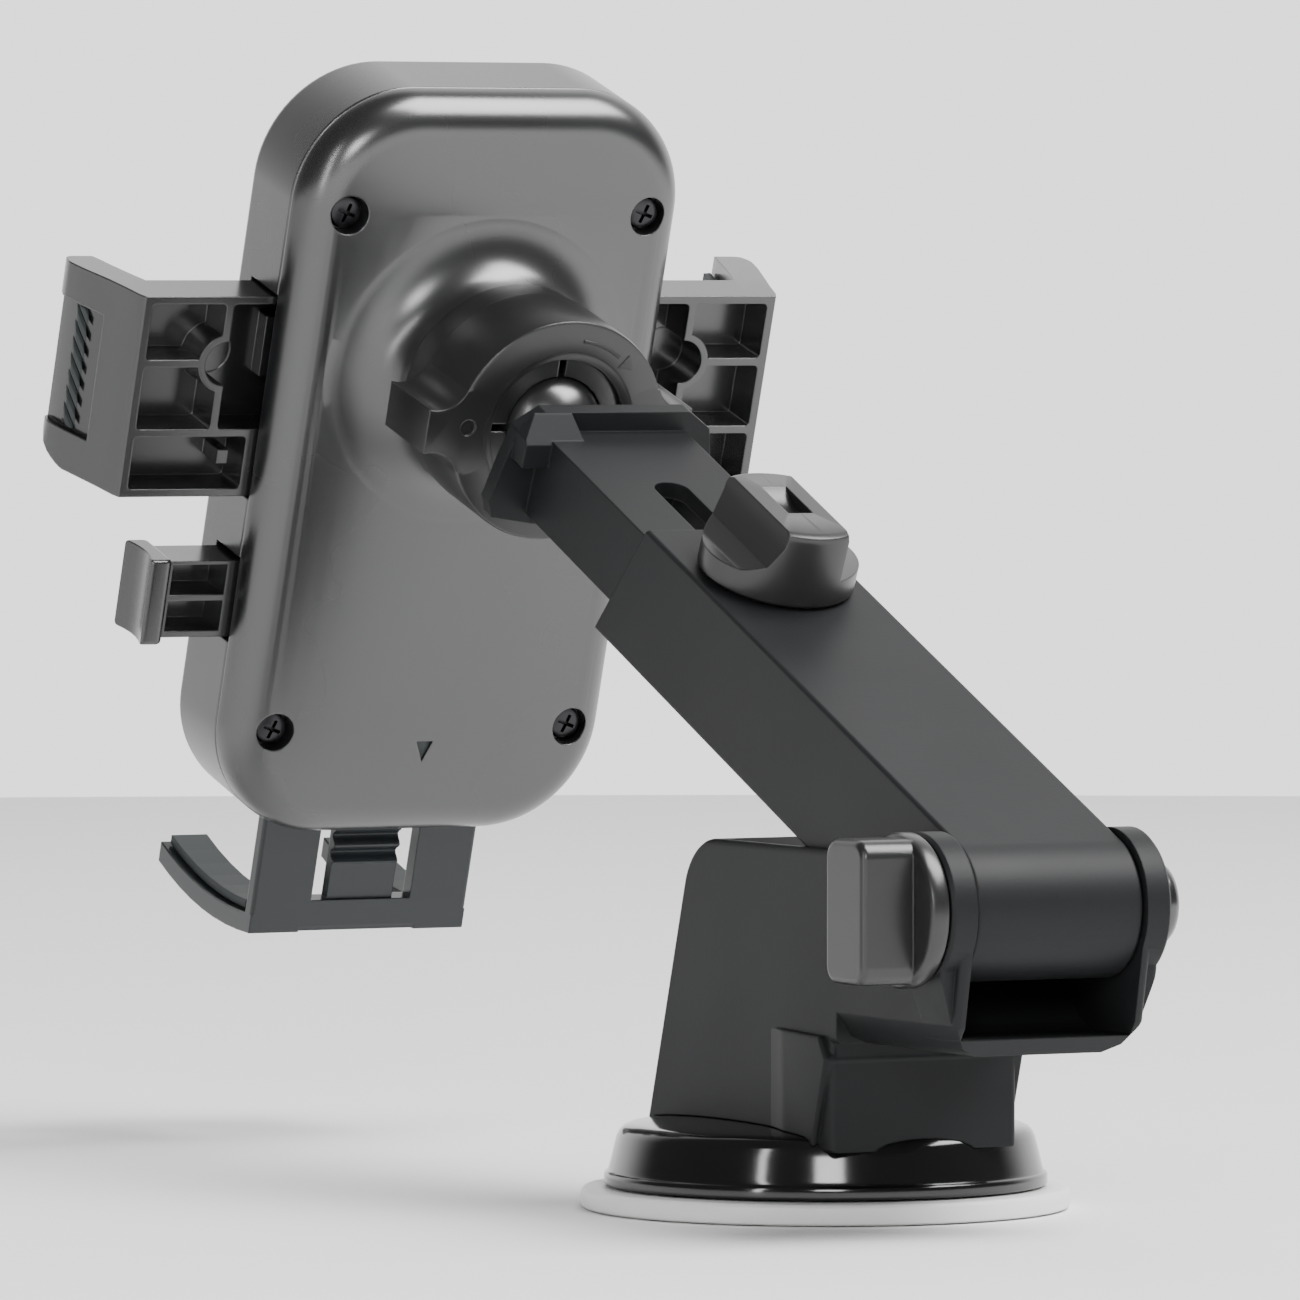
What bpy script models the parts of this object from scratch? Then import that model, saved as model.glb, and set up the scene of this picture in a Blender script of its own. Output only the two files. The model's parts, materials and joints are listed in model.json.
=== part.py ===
"""Telescopic dashboard phone mount: suction base, swinging arm, ball joint and clip head.

Object frame: origin at the centre of the suction pad's underside, +Z up, +Y to the rear (the
side that faces the windscreen), +X to the side of the pivot knob. The phone rests on the -Y side.
All lengths below are millimetres; MM turns them into Blender's metres.
"""
import math

import bmesh
import bpy
from mathutils import Matrix, Vector

MM = 0.001
GAP = 0.3                      # air between neighbouring solids

# --- driving dimensions -------------------------------------------------------------------------
PAD_R, PAD_T = 35.0, 3.0       # gel suction pad
PAD_WELL_R, PAD_WELL_Z = 16.4, 1.0
DOME_RIM_R, DOME_TOP_R = 31.7, 29.6
DOME_TOP_Z, DOME_CROWN_Z = 11.8, 13.1
COLUMN_X = 15.0                # half width of the leaning column
COLUMN_LEAN = 17.9             # degrees, front face against the vertical
COLUMN_TOP_Z = 52.6
BLOCK_X = 16.0                 # half width of the block behind the column's foot
PIVOT_Y, PIVOT_Z = 57.5, 45.6
EAR_R, EAR_X = 10.8, 17.4      # round ears and their outer faces
CHANNEL_X = 13.45              # half width of the space between the cheeks
TRAY_Z = 25.6
LEVER_Y, LEVER_Z = -14.5, 25.0  # axis of the lock lever
PLUNGER_LIFT = 2.5

ARM_RISE = 24.3                # degrees above the horizontal
SLEEVE_X, SLEEVE_T = 13.15, 20.2
SLEEVE_TOP_END, SLEEVE_LOW_END = 100.0, 110.0
BAR_X, BAR_LOW, BAR_TOP = 11.9, -5.2, 8.1
BAR_START, FLANGE_S, FLANGE_T = 38.0, 138.4, 2.7
SLOT_HALF, SLOT_FAR, SLOT_NEAR = 2.75, 118.0, 45.0
CLAMP_S = 84.5                 # length knob along the arm
BALL_S, BALL_R = 159.9, 8.5

HEAD_LEAN = 18.3               # degrees, head top tipped to the rear
HEAD_X, HEAD_UP, HEAD_DOWN = 32.0, 42.6, -76.0
HEAD_CORNER = 18.0
COVER_BACK, COVER_RIM = -22.6, -29.4
SHELL_RIM, SHELL_FRONT = -29.7, -44.2
WALL = 2.0
SCREW_X, SCREW_MID, SCREW_HALF = 25.1, -16.7, 41.2

NUT_R, NUT_BACK, NUT_FRONT = 17.3, -14.1, 5.3
CLAW_TOP, CLAW_LOW = 9.4, -22.3
CLAW_BACK, CLAW_FRONT = -30.1, -38.5
CLAW_OUT, CLAW_ROOT = 53.8, 27.5
PINION_Z, PINION_R = -6.5, 6.0
RACK_BACK, RACK_FRONT = -39.1, -41.9
FOOT_X, FOOT_LOW, FOOT_TOP = 18.4, -95.6, -52.0
FOOT_BACK, FOOT_FRONT = -35.3, -37.9
PRONG_TIP, PRONG_T, PRONG_IN = -69.3, 3.2, 9.9


# --- helpers ------------------------------------------------------------------------------------
def clear_scene():
    for item in list(bpy.data.objects):
        bpy.data.objects.remove(item, do_unlink=True)


def new_collection(name):
    group = bpy.data.collections.new(name)
    bpy.context.scene.collection.children.link(group)
    return group


clear_scene()
PARTS = new_collection("phone_mount")
TOOLS = new_collection("cutters")


def new_frame(name, place, lean=0.0):
    """Empty that carries pieces; lean tips its Z axis towards +Y, in degrees."""
    empty = bpy.data.objects.new(name, None)
    empty.location = Vector(place) * MM
    empty.rotation_euler = (math.radians(-lean), 0.0, 0.0)
    PARTS.objects.link(empty)
    return empty


def finish(name, colour, roughness, metallic=0.0):
    """Principled material of one colour."""
    made = bpy.data.materials.new(name)
    made.use_nodes = True
    shader = made.node_tree.nodes["Principled BSDF"]
    shader.inputs["Base Color"].default_value = (*colour, 1.0)
    shader.inputs["Roughness"].default_value = roughness
    shader.inputs["Metallic"].default_value = metallic
    return made


def tool(name, mesh, home, turn=None):
    """Hidden working solid; node() later shows the ones that are pieces."""
    made = bpy.data.objects.new(name, mesh)
    made.parent = home
    made.hide_render = True
    made.display_type = "WIRE"
    if turn is not None:
        made.matrix_local = turn
    TOOLS.objects.link(made)
    return made


def mesh_from(name, bm):
    mesh = bpy.data.meshes.new(name)
    bm.to_mesh(mesh)
    bm.free()
    return mesh


def block(name, low, high, home):
    """Box between two corners."""
    bm = bmesh.new()
    bmesh.ops.create_cube(bm, size=1.0)
    low, high = Vector(low) * MM, Vector(high) * MM
    bmesh.ops.scale(bm, vec=high - low, verts=bm.verts)
    bmesh.ops.translate(bm, vec=(low + high) / 2, verts=bm.verts)
    return tool(name, mesh_from(name, bm), home)


def drum(name, start, end, radius, home, far_radius=None, sides=40):
    """Cylinder or cone between two points."""
    start, end = Vector(start) * MM, Vector(end) * MM
    axis = end - start
    bm = bmesh.new()
    bmesh.ops.create_cone(bm, cap_ends=True, segments=sides, radius1=radius * MM,
                          radius2=(radius if far_radius is None else far_radius) * MM,
                          depth=axis.length)
    turn = Vector((0, 0, 1)).rotation_difference(axis).to_matrix().to_4x4()
    bmesh.ops.transform(bm, matrix=Matrix.Translation((start + end) / 2) @ turn, verts=bm.verts)
    return tool(name, mesh_from(name, bm), home)


AXIS_TURN = {"Z": Matrix.Identity(4),
             "Y": Matrix.Rotation(math.radians(-90), 4, "X"),
             "X": Matrix.Rotation(math.radians(90), 4, "Y")}


def turned(name, profile, home, axis="Z", centre=(0, 0, 0), closed=False, sides=48):
    """Profile of (radius, height) points, outer side first, turned about an axis."""
    bm = bmesh.new()
    verts = [bm.verts.new((r * MM, 0, h * MM)) for r, h in profile]
    for first, second in zip(verts, verts[1:] + (verts[:1] if closed else [])):
        if first is not second:
            bm.edges.new((first, second))
    made = tool(name, mesh_from(name, bm), home,
                Matrix.Translation(Vector(centre) * MM) @ AXIS_TURN[axis])
    screw = made.modifiers.new("turn", "SCREW")
    screw.steps = screw.render_steps = sides
    screw.use_merge_vertices = True
    screw.merge_threshold = 0.00001
    return made


PLANE_TURN = {"XY": Matrix.Identity(4),
              "YZ": Matrix(((0, 0, 1, 0), (1, 0, 0, 0), (0, 1, 0, 0), (0, 0, 0, 1))),
              "XZ": Matrix(((1, 0, 0, 0), (0, 0, -1, 0), (0, 1, 0, 0), (0, 0, 0, 1)))}


def plate(name, outline, low, high, home, plane="YZ"):
    """Flat outline with thickness from low to high along the plane's normal."""
    curve = bpy.data.curves.new(name, "CURVE")
    curve.dimensions = "2D"
    curve.fill_mode = "BOTH"
    curve.extrude = abs(high - low) * MM / 2
    spline = curve.splines.new("POLY")
    spline.points.add(len(outline) - 1)
    for point, (u, v) in zip(spline.points, outline):
        point.co = (u * MM, v * MM, 0.0, 1.0)
    spline.use_cyclic_u = True
    sheet = bpy.data.objects.new(name + "_curve", curve)
    TOOLS.objects.link(sheet)
    evaluated = sheet.evaluated_get(bpy.context.evaluated_depsgraph_get())
    mesh = bpy.data.meshes.new_from_object(evaluated)
    bpy.data.objects.remove(sheet, do_unlink=True)
    bm = bmesh.new()
    bm.from_mesh(mesh)
    bmesh.ops.remove_doubles(bm, verts=bm.verts, dist=0.000001)
    bmesh.ops.recalc_face_normals(bm, faces=bm.faces)
    middle = (low + high) / 2 * MM * (-1 if plane == "XZ" else 1)
    bmesh.ops.translate(bm, vec=(0, 0, middle), verts=bm.verts)
    bmesh.ops.transform(bm, matrix=PLANE_TURN[plane], verts=bm.verts)
    bm.to_mesh(mesh)
    bm.free()
    return tool(name, mesh, home)


def coil(name, centre, radius, wire, turns, height, home, axis="Z"):
    """Helical spring standing on centre along an axis."""
    curve = bpy.data.curves.new(name, "CURVE")
    curve.dimensions = "3D"
    curve.bevel_depth = wire / 2 * MM
    curve.bevel_resolution = 1
    curve.use_fill_caps = True
    spline = curve.splines.new("POLY")
    count = int(turns * 10)
    spline.points.add(count)
    for index, point in enumerate(spline.points):
        angle = 2 * math.pi * turns * index / count
        point.co = (radius * MM * math.cos(angle), radius * MM * math.sin(angle),
                    height * MM * index / count, 1.0)
    wire_object = bpy.data.objects.new(name + "_curve", curve)
    TOOLS.objects.link(wire_object)
    evaluated = wire_object.evaluated_get(bpy.context.evaluated_depsgraph_get())
    mesh = bpy.data.meshes.new_from_object(evaluated)
    bpy.data.objects.remove(wire_object, do_unlink=True)
    bm = bmesh.new()
    bm.from_mesh(mesh)
    bmesh.ops.remove_doubles(bm, verts=bm.verts, dist=0.000001)
    bmesh.ops.recalc_face_normals(bm, faces=bm.faces)
    bm.to_mesh(mesh)
    bm.free()
    return tool(name, mesh, home, Matrix.Translation(Vector(centre) * MM) @ AXIS_TURN[axis])


def boolean(target, operation, tools):
    for other in tools:
        step = target.modifiers.new(operation.lower(), "BOOLEAN")
        step.operation = operation
        step.solver = "EXACT"
        step.object = other
    return target


def cut(target, *tools):
    return boolean(target, "DIFFERENCE", tools)


def join(target, *tools):
    return boolean(target, "UNION", tools)


def trim(target, *tools):
    return boolean(target, "INTERSECT", tools)


def soften(target, width, segments=2, angle=50):
    """Rounded edges wherever two faces meet at more than the angle."""
    step = target.modifiers.new("round", "BEVEL")
    step.width = width * MM
    step.segments = segments
    step.limit_method = "ANGLE"
    step.angle_limit = math.radians(angle)
    return target


def node(target, material):
    """Show a working solid as a piece of the object."""
    TOOLS.objects.unlink(target)
    PARTS.objects.link(target)
    target.hide_render = False
    target.display_type = "TEXTURED"
    target.data.materials.append(material)
    target.data.shade_smooth()
    target.data.set_sharp_from_angle(angle=math.radians(35))
    return target


def arc(centre, radius, start, end, steps):
    """Points of a circular arc, angles in degrees."""
    points = []
    for index in range(steps + 1):
        angle = math.radians(start + (end - start) * index / steps)
        points.append((centre[0] + radius * math.cos(angle),
                       centre[1] + radius * math.sin(angle)))
    return points


def round_box(half, low, high, radius, steps=6):
    """Rounded rectangle, symmetric about the first axis's zero."""
    return (arc((half - radius, high - radius), radius, 0, 90, steps)
            + arc((-half + radius, high - radius), radius, 90, 180, steps)
            + arc((-half + radius, low + radius), radius, 180, 270, steps)
            + arc((half - radius, low + radius), radius, 270, 360, steps))


def mirrored(points):
    """The same outline on the other side of the first axis's zero."""
    return [(-u, v) for u, v in reversed(points)]


# --- frames and finishes ------------------------------------------------------------------------
base_frame = new_frame("base_frame", (0, 0, 0))
lever_frame = new_frame("lever_frame", (0, LEVER_Y, LEVER_Z), COLUMN_LEAN)
arm_frame = new_frame("arm_frame", (0, PIVOT_Y, PIVOT_Z), ARM_RISE)
rise = math.radians(ARM_RISE)
ball_place = (0, PIVOT_Y - BALL_S * math.cos(rise), PIVOT_Z + BALL_S * math.sin(rise))
head_frame = new_frame("head_frame", ball_place, HEAD_LEAN)

black_matt = finish("black_matt_plastic", (0.030, 0.030, 0.032), 0.55)
black_satin = finish("black_satin_plastic", (0.040, 0.041, 0.044), 0.35)
black_gloss = finish("black_gloss_plastic", (0.012, 0.012, 0.013), 0.12)
gel = finish("white_gel", (0.78, 0.78, 0.78), 0.45)
rubber = finish("grey_rubber", (0.055, 0.062, 0.064), 0.70)
steel = finish("zinc_steel", (0.60, 0.60, 0.62), 0.35, 1.0)


# --- suction base -------------------------------------------------------------------------------
def dome_height(radius):
    """Upper surface of the dome, a shallow crown inside its shoulder."""
    return DOME_CROWN_Z - (DOME_CROWN_Z - DOME_TOP_Z) * (radius / DOME_TOP_R) ** 2


def make_suction():
    pad = turned("gel_pad", [(0, PAD_WELL_Z), (PAD_WELL_R, PAD_WELL_Z), (PAD_WELL_R, PAD_T),
                             (PAD_R - 0.4, PAD_T), (PAD_R, PAD_T - 0.4), (PAD_R, 0.4),
                             (PAD_R - 0.4, 0.0), (0, 0)], base_frame, sides=56)
    node(pad, gel)
    stem_r, disc_low = 3.6, PAD_WELL_Z + PLUNGER_LIFT + 0.4
    plunger = turned("plunger", [(0, 35.5), (stem_r, 35.5), (stem_r, disc_low + 2.0),
                                 (15.4, disc_low + 2.0), (15.4, disc_low), (0, disc_low)],
                     base_frame, sides=40)
    join(plunger, block("crosshead", (-3.0, -15.2, 31.45), (3.0, 2.0, 35.3), base_frame))
    node(plunger, black_satin)
    spring = coil("suction_spring", (0, 0, disc_low + 2.9), 5.6, 1.0, 2.5, 3.3, base_frame)
    node(spring, steel)

    crown_line = [(r, dome_height(r)) for r in (5.0, 14.0, 22.0, 27.0)]
    shoulder = [(29.0, 11.7), (29.8, 10.9), (30.3, 9.4), (31.0, 6.0), (31.2, 5.3), (31.7, 5.1),
                (31.7, 3.5), (31.2, PAD_T + GAP)]
    inside = [(29.2, PAD_T + GAP), (28.6, 8.2), (27.2, 9.7), (14.0, 10.8), (5.0, 11.0)]
    dome = turned("dome_cover", crown_line + shoulder + inside, base_frame, closed=True, sides=56)
    node(dome, black_gloss)


def make_pedestal():
    lean = math.tan(math.radians(COLUMN_LEAN))
    front_foot = -26.5 - 1.6 * lean
    front_top = front_foot + (COLUMN_TOP_Z - 10.0) * lean
    profile = [(front_foot, 10.0)]
    profile += [(29.0, 10.0), (29.0, TRAY_Z), (60.5, TRAY_Z), (64.0, 29.0)]
    profile += arc((PIVOT_Y, PIVOT_Z), EAR_R, -25, 98, 10)
    profile += [(25.0, COLUMN_TOP_Z)]
    profile += arc((front_top + 7.5, COLUMN_TOP_Z - 6.5), 6.5, 90, 180 - COLUMN_LEAN, 5)
    body = plate("pedestal", profile, -COLUMN_X, COLUMN_X, base_frame)

    rear = plate("rear_block", [(12.8, 10.0), (24.9, 10.0), (29.1, 23.4), (27.4, 26.6),
                                (17.0, 26.6)], -BLOCK_X, BLOCK_X, base_frame)
    rear_cut = plate("rear_cut", [(24.9, 9.0), (40.0, 9.0), (40.0, TRAY_Z), (30.4, TRAY_Z),
                                  (29.1, 23.4)], -20.0, 20.0, base_frame)
    ears = [drum("ear_%d" % side, (side * 14.0, PIVOT_Y, PIVOT_Z),
                 (side * EAR_X, PIVOT_Y, PIVOT_Z), EAR_R, base_frame, sides=36)
            for side in (-1, 1)]
    straps = [plate("ear_strap_%d" % side,
                    [(54.5, 28.0), (56.5, 26.2), (60.0, 26.2), (63.0, 29.2), (64.6, 40.0),
                     (54.5, 40.0)],
                    min(side * 14.0, side * EAR_X), max(side * 14.0, side * EAR_X), base_frame)
              for side in (-1, 1)]
    channel = plate("arm_channel", [(-9.0, 53.0), (24.0, 43.0), (44.0, 36.0), (49.5, 29.0),
                                    (53.5, 27.8), (80.0, 27.8), (80.0, 75.0), (-9.0, 75.0)],
                    -CHANNEL_X, CHANNEL_X, base_frame)
    cavity = plate("column_cavity", [(-19.5, 5.0), (-18.0, 13.0), (-10.5, 38.5), (12.0, 38.5),
                                     (14.0, 5.0)], -11.2, 11.2, base_frame)
    window = block("lever_window", (-10.7, -8.0, -8.9), (10.7, 1.5, 19.6), lever_frame)
    dome_gap = turned("dome_gap", [(0, dome_height(0) + GAP), (14.0, dome_height(14) + GAP),
                                   (22.0, dome_height(22) + GAP), (29.0, 12.0), (30.3, 11.2),
                                   (31.0, 9.0), (31.0, 0.0), (0, 0.0)], base_frame, sides=64)
    pivot_hole = drum("pivot_hole", (-19.0, PIVOT_Y, PIVOT_Z), (19.0, PIVOT_Y, PIVOT_Z), 3.3,
                      base_frame, sides=24)
    pin_hole = drum("pin_hole", (-16.0, LEVER_Y, LEVER_Z), (14.2, LEVER_Y, LEVER_Z), 1.75,
                    base_frame, sides=20)
    pilots = [drum("pilot_%d" % side, (side * 9.0, 19.5, 9.0), (side * 9.0, 19.5, 22.0), 1.4,
                   base_frame, sides=16) for side in (-1, 1)]
    join(body, rear, *ears, *straps)
    cut(body, rear_cut, channel, cavity, window, dome_gap, pivot_hole, pin_hole, *pilots)
    node(body, black_matt)

    pin = drum("lever_pin", (-14.6, LEVER_Y, LEVER_Z), (13.9, LEVER_Y, LEVER_Z), 1.45,
               base_frame, sides=20)
    node(pin, steel)


def make_base_screws():
    """Two screws that hold the dome to the column from below."""
    dome = bpy.data.objects["dome_cover"]
    for number, side in enumerate((-1, 1), start=1):
        x, y = side * 9.0, 19.5
        cut(dome, drum("dome_hole_%d" % number, (x, y, 9.0), (x, y, 14.0), 1.5, base_frame,
                       sides=16))
        screw = drum("base_screw_%d" % number, (x, y, 9.3), (x, y, 21.0), 1.15, base_frame,
                     sides=16)
        join(screw, drum("base_head_%d" % number, (x, y, 7.8), (x, y, 9.6), 2.6, base_frame,
                         sides=16))
        node(screw, steel)


def make_lever():
    """Flap on the column's front; its cam lifts the plunger's crosshead."""
    flap = block("lock_lever", (-10.3, -6.8, -2.2), (10.3, -4.6, 19.0), lever_frame)
    soften(flap, 0.6, 2)
    hub = drum("lever_hub", (-9.8, 0, 0), (9.8, 0, 0), 3.1, lever_frame, sides=24)
    webs = [block("lever_web_%d" % side, (min(side * 7.4, side * 9.6), -5.4, -1.6),
                  (max(side * 7.4, side * 9.6), 0.0, 2.0), lever_frame) for side in (-1, 1)]
    lobe_angle = math.radians(40)
    cam_y = LEVER_Y - 2.0 * math.sin(lobe_angle)
    cam_z = LEVER_Z + 2.0 * math.cos(lobe_angle)
    cam = drum("lever_cam", (-2.9, cam_y, cam_z), (2.9, cam_y, cam_z), 4.6, base_frame, sides=32)
    relief = block("hub_relief", (-3.3, -4.4, -3.4), (3.3, 3.4, 3.4), lever_frame)
    bore = drum("lever_bore", (-12.0, 0, 0), (12.0, 0, 0), 1.75, lever_frame, sides=20)
    cut(join(flap, hub, *webs), relief)
    slim = drum("hub_core", (-4.0, 0, 0), (4.0, 0, 0), 2.6, lever_frame, sides=24)
    cut(join(flap, slim, cam), bore)
    node(flap, black_matt)


# --- pivot --------------------------------------------------------------------------------------
def make_pivot():
    def at(x, y=0.0, z=0.0):
        return (x, PIVOT_Y + y, PIVOT_Z + z)

    knob = drum("pivot_knob", at(EAR_X + GAP), at(EAR_X + 3.2), EAR_R, base_frame, sides=40)
    soften(knob, 0.6, 2)
    grip = block("pivot_grip", (EAR_X + 2.6, PIVOT_Y - 5.5, PIVOT_Z - 10.8),
                 (EAR_X + 11.3, PIVOT_Y + 5.5, PIVOT_Z + 10.8), base_frame)
    soften(trim(grip, drum("grip_round", at(EAR_X + 1.0), at(EAR_X + 14.0), 10.7, base_frame,
                           sides=40)), 1.3, 3)
    insert_hole = drum("knob_insert_hole", at(15.0), at(EAR_X + 7.3), 3.3, base_frame, sides=24)
    node(cut(join(knob, grip), insert_hole), black_satin)
    node(drum("pivot_bolt", at(-20.4), at(EAR_X + 7.0), 3.0, base_frame, sides=24), steel)

    nut = drum("pivot_nut", at(-20.2), at(-17.7), 4.6, base_frame, sides=6)
    node(cut(nut, drum("nut_hole", at(-22.0), at(-16.0), 3.3, base_frame, sides=24)), steel)
    cap = turned("pivot_cap", [(0, -21.0), (4.95, -21.0), (4.95, -17.7), (6.35, -17.7),
                               (6.35, -20.4), (5.9, -21.6), (4.6, -22.2), (0, -22.4)],
                 base_frame, axis="X", centre=(0, PIVOT_Y, PIVOT_Z), sides=32)
    node(cap, black_satin)
    for number, side in enumerate((-1, 1), start=1):
        inner, outer = sorted((side * 12.45, side * 13.3))
        washer = drum("friction_washer_%d" % number, at(inner), at(outer), 7.4, base_frame)
        hole = drum("washer_hole_%d" % number, at(inner - 1), at(outer + 1), 3.3, base_frame,
                    sides=24)
        node(cut(washer, hole), rubber)


# --- arm: x across, -y along the arm from the pivot, z square to its wide face --------------------
def make_lower_arm():
    half = SLEEVE_T / 2
    profile = [(-118.0, -half)] + arc((0, 0), half, -90, 90, 16) + [(-118.0, half)]
    sleeve = soften(plate("lower_arm", profile, -SLEEVE_X, SLEEVE_X, arm_frame), 3.2, 3, 60)
    end_cut = plate("sleeve_end_cut", [(-SLEEVE_TOP_END, half + 1), (-SLEEVE_LOW_END, -half - 1),
                                       (-130.0, -half - 1), (-130.0, half + 1)],
                    -20, 20, arm_frame)
    bore = block("sleeve_bore", (-BAR_X - 0.25, -125, -8.2), (BAR_X + 0.25, -9, BAR_TOP + GAP),
                 arm_frame)
    bolt_hole = drum("clamp_bolt_hole", (0, -CLAMP_S, 5), (0, -CLAMP_S, 14), 2.7, arm_frame,
                     sides=20)
    pivot_bore = drum("arm_pivot_bore", (-20, 0, 0), (20, 0, 0), 3.3, arm_frame, sides=24)
    wells = [drum("washer_well_%d" % side, (side * 12.2, 0, 0), (side * 15, 0, 0), 7.8,
                  arm_frame, sides=32) for side in (-1, 1)]
    cut(sleeve, end_cut, bore, bolt_hole, pivot_bore, *wells)
    node(sleeve, black_matt)


def make_length_knob():
    top = SLEEVE_T / 2
    s = -CLAMP_S
    knob = drum("length_knob", (0, s, top + GAP), (0, s, top + 3.9), 11.5, arm_frame, sides=48)
    grip = plate("length_grip", [(9.3, top + 3.4), (5.2, top + 7.6), (4.3, top + 11.8),
                                 (-4.3, top + 11.8), (-5.6, top + 3.4)],
                 s - 10.6, s + 12.0, arm_frame, "XZ")
    trim(grip, drum("grip_trim", (0, s, top), (0, s, top + 20), 11.4, arm_frame, sides=48))
    soften(grip, 0.7, 2)
    scoop = drum("grip_scoop", (-8, s - 2, top + 17.2), (8, s - 2, top + 17.2), 7.0, arm_frame,
                 sides=40)
    trim(scoop, block("scoop_width", (-2.4, s - 8, top + 5), (2.6, s + 6, top + 20), arm_frame))
    socket = drum("length_insert_hole", (0, s, 5), (0, s, top + 7.4), 2.6, arm_frame, sides=20)
    node(cut(join(knob, grip), scoop, socket), black_satin)
    node(drum("length_bolt", (0, s, 1.6), (0, s, top + 7.1), 2.3, arm_frame, sides=20), steel)
    clamp = block("clamp_plate", (-7.0, s - 8, 2.7), (7.0, s + 8, 5.3), arm_frame)
    node(cut(clamp, drum("clamp_hole", (0, s, 0), (0, s, 8), 2.6, arm_frame, sides=20)), steel)


def make_upper_arm():
    bar = block("upper_arm", (-BAR_X, -FLANGE_S - 0.5, BAR_LOW), (BAR_X, -BAR_START, BAR_TOP),
                arm_frame)
    soften(bar, 0.8, 2)
    under = block("bar_channel", (-9.9, -FLANGE_S + 4.2, -12.0), (9.9, -BAR_START - 2.0, 5.6),
                  arm_frame)
    shoes = [block("bar_shoe_%d" % side, (min(side * 9.9, side * BAR_X), -BAR_START - 14, -7.9),
                   (max(side * 9.9, side * BAR_X), -BAR_START, BAR_LOW + 1.5), arm_frame)
             for side in (-1, 1)]
    slot_ends = arc((0, -SLOT_FAR), SLOT_HALF, 180, 360, 8) + arc((0, -SLOT_NEAR), SLOT_HALF,
                                                                  0, 180, 8)
    slot = plate("bar_slot", slot_ends, 3.0, 12.0, arm_frame, "XY")
    side = [(12.4, 11.2), (16.1, 8.2), (17.2, 3.0), (18.4, -3.2), (17.4, -5.8), (10.7, -6.9)]
    flange = plate("bar_flange", mirrored(side) + side, -FLANGE_S - FLANGE_T, -FLANGE_S,
                   arm_frame, "XZ")
    screw_hole = drum("stud_screw_hole", (0, -130, 0), (0, -145, 0), 2.2, arm_frame, sides=20)
    join(bar, *shoes, flange)
    node(cut(bar, under, slot, screw_hole), black_matt)

    start = -FLANGE_S - FLANGE_T - GAP
    stud = turned("ball_stud", [(0, start), (8.2, start), (8.2, start - 1.8), (4.6, start - 4.2),
                                (4.6, -BALL_S + 7.2)]
                  + [(BALL_R * math.cos(a), -BALL_S + BALL_R * math.sin(a))
                     for a in (math.radians(d) for d in range(52, -81, -12))]
                  + [(0, -BALL_S - BALL_R)], arm_frame, axis="Y", sides=32)
    bore = drum("stud_bore", (0, start + 1, 0), (0, start - 9, 0), 2.1, arm_frame, sides=20)
    node(cut(stud, bore), black_gloss)
    screw = drum("stud_screw", (0, start - 8, 0), (0, -FLANGE_S + 4.6, 0), 1.8, arm_frame,
                 sides=20)
    join(screw, drum("stud_screw_head", (0, -FLANGE_S + 4.5, 0), (0, -FLANGE_S + 6.8, 0), 3.6,
                     arm_frame, sides=20))
    node(screw, steel)


# --- ball joint: x across, y out of the head's back, z up the head ------------------------------
def sphere_points(radius, start, end, step=12):
    """Points (radius, height) of a sphere about the ball, angles in degrees from the equator."""
    count = max(1, round(abs(end - start) / step))
    return [(radius * math.cos(math.radians(a)), radius * math.sin(math.radians(a)))
            for a in (start + (end - start) * i / count for i in range(count + 1))]


def make_ball_joint():
    pad = turned("ball_pad", sphere_points(8.8, -90, -42, 12) + sphere_points(9.5, -42, -90, 12),
                 head_frame, axis="Y", sides=28)
    node(pad, rubber)
    seat = sphere_points(8.75, 24, -4) + sphere_points(9.8, -8, -90)
    socket = turned("ball_socket", [(11.2, 3.56), (12.9, 0.5), (12.9, -20.0), (0, -20.0)]
                    + seat[::-1], head_frame, axis="Y", closed=True, sides=32)
    slits = [block("socket_slit_x", (-14, -1.5, -0.6), (14, 5, 0.6), head_frame),
             block("socket_slit_z", (-0.6, -1.5, -14), (0.6, 5, 14), head_frame)]
    node(cut(socket, *slits), black_satin)

    fillet_r, wing_half, tip = 5.0, 3.3, 22.0
    lift = wing_half + fillet_r
    reach = math.sqrt((NUT_R + fillet_r) ** 2 - lift ** 2)
    meet = math.degrees(math.atan2(lift, reach))
    quarter = (arc((tip - 1.2, wing_half - 1.2), 1.2, 0, 90, 3)[:-1]
               + arc((reach, lift), fillet_r, 270, 180 + meet, 5)
               + arc((0, 0), NUT_R, meet + 6, 90, 8))
    upper = quarter + mirrored(quarter)[1:]
    outline = upper + [(-u, -v) for u, v in upper]
    wings = soften(plate("nut_wings", outline, -8.2, NUT_FRONT, head_frame, "XZ"), 0.6, 2)
    nut = drum("ball_nut", (0, NUT_BACK, 0), (0, -7.0, 0), NUT_R - 0.4, head_frame, sides=48)
    bore = turned("nut_bore", [(0, 9.0), (12.5, 9.0), (12.0, 5.4), (10.9, 4.7), (10.75, 4.0),
                               (12.0, 3.0), (13.3, 0.2), (13.3, -20.0), (0, -20.0)], head_frame,
                  axis="Y", sides=48)
    node(cut(join(nut, wings), bore), black_satin)


# --- clip head ----------------------------------------------------------------------------------
def head_plate(name, low, high, inset, corner_inset=0.0):
    """Slab with the head's rounded outline, shrunk by inset."""
    outline = round_box(HEAD_X - inset, HEAD_DOWN + inset, HEAD_UP - inset,
                        HEAD_CORNER - inset - corner_inset)
    return plate(name, outline, low, high, head_frame, "XZ")


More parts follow.
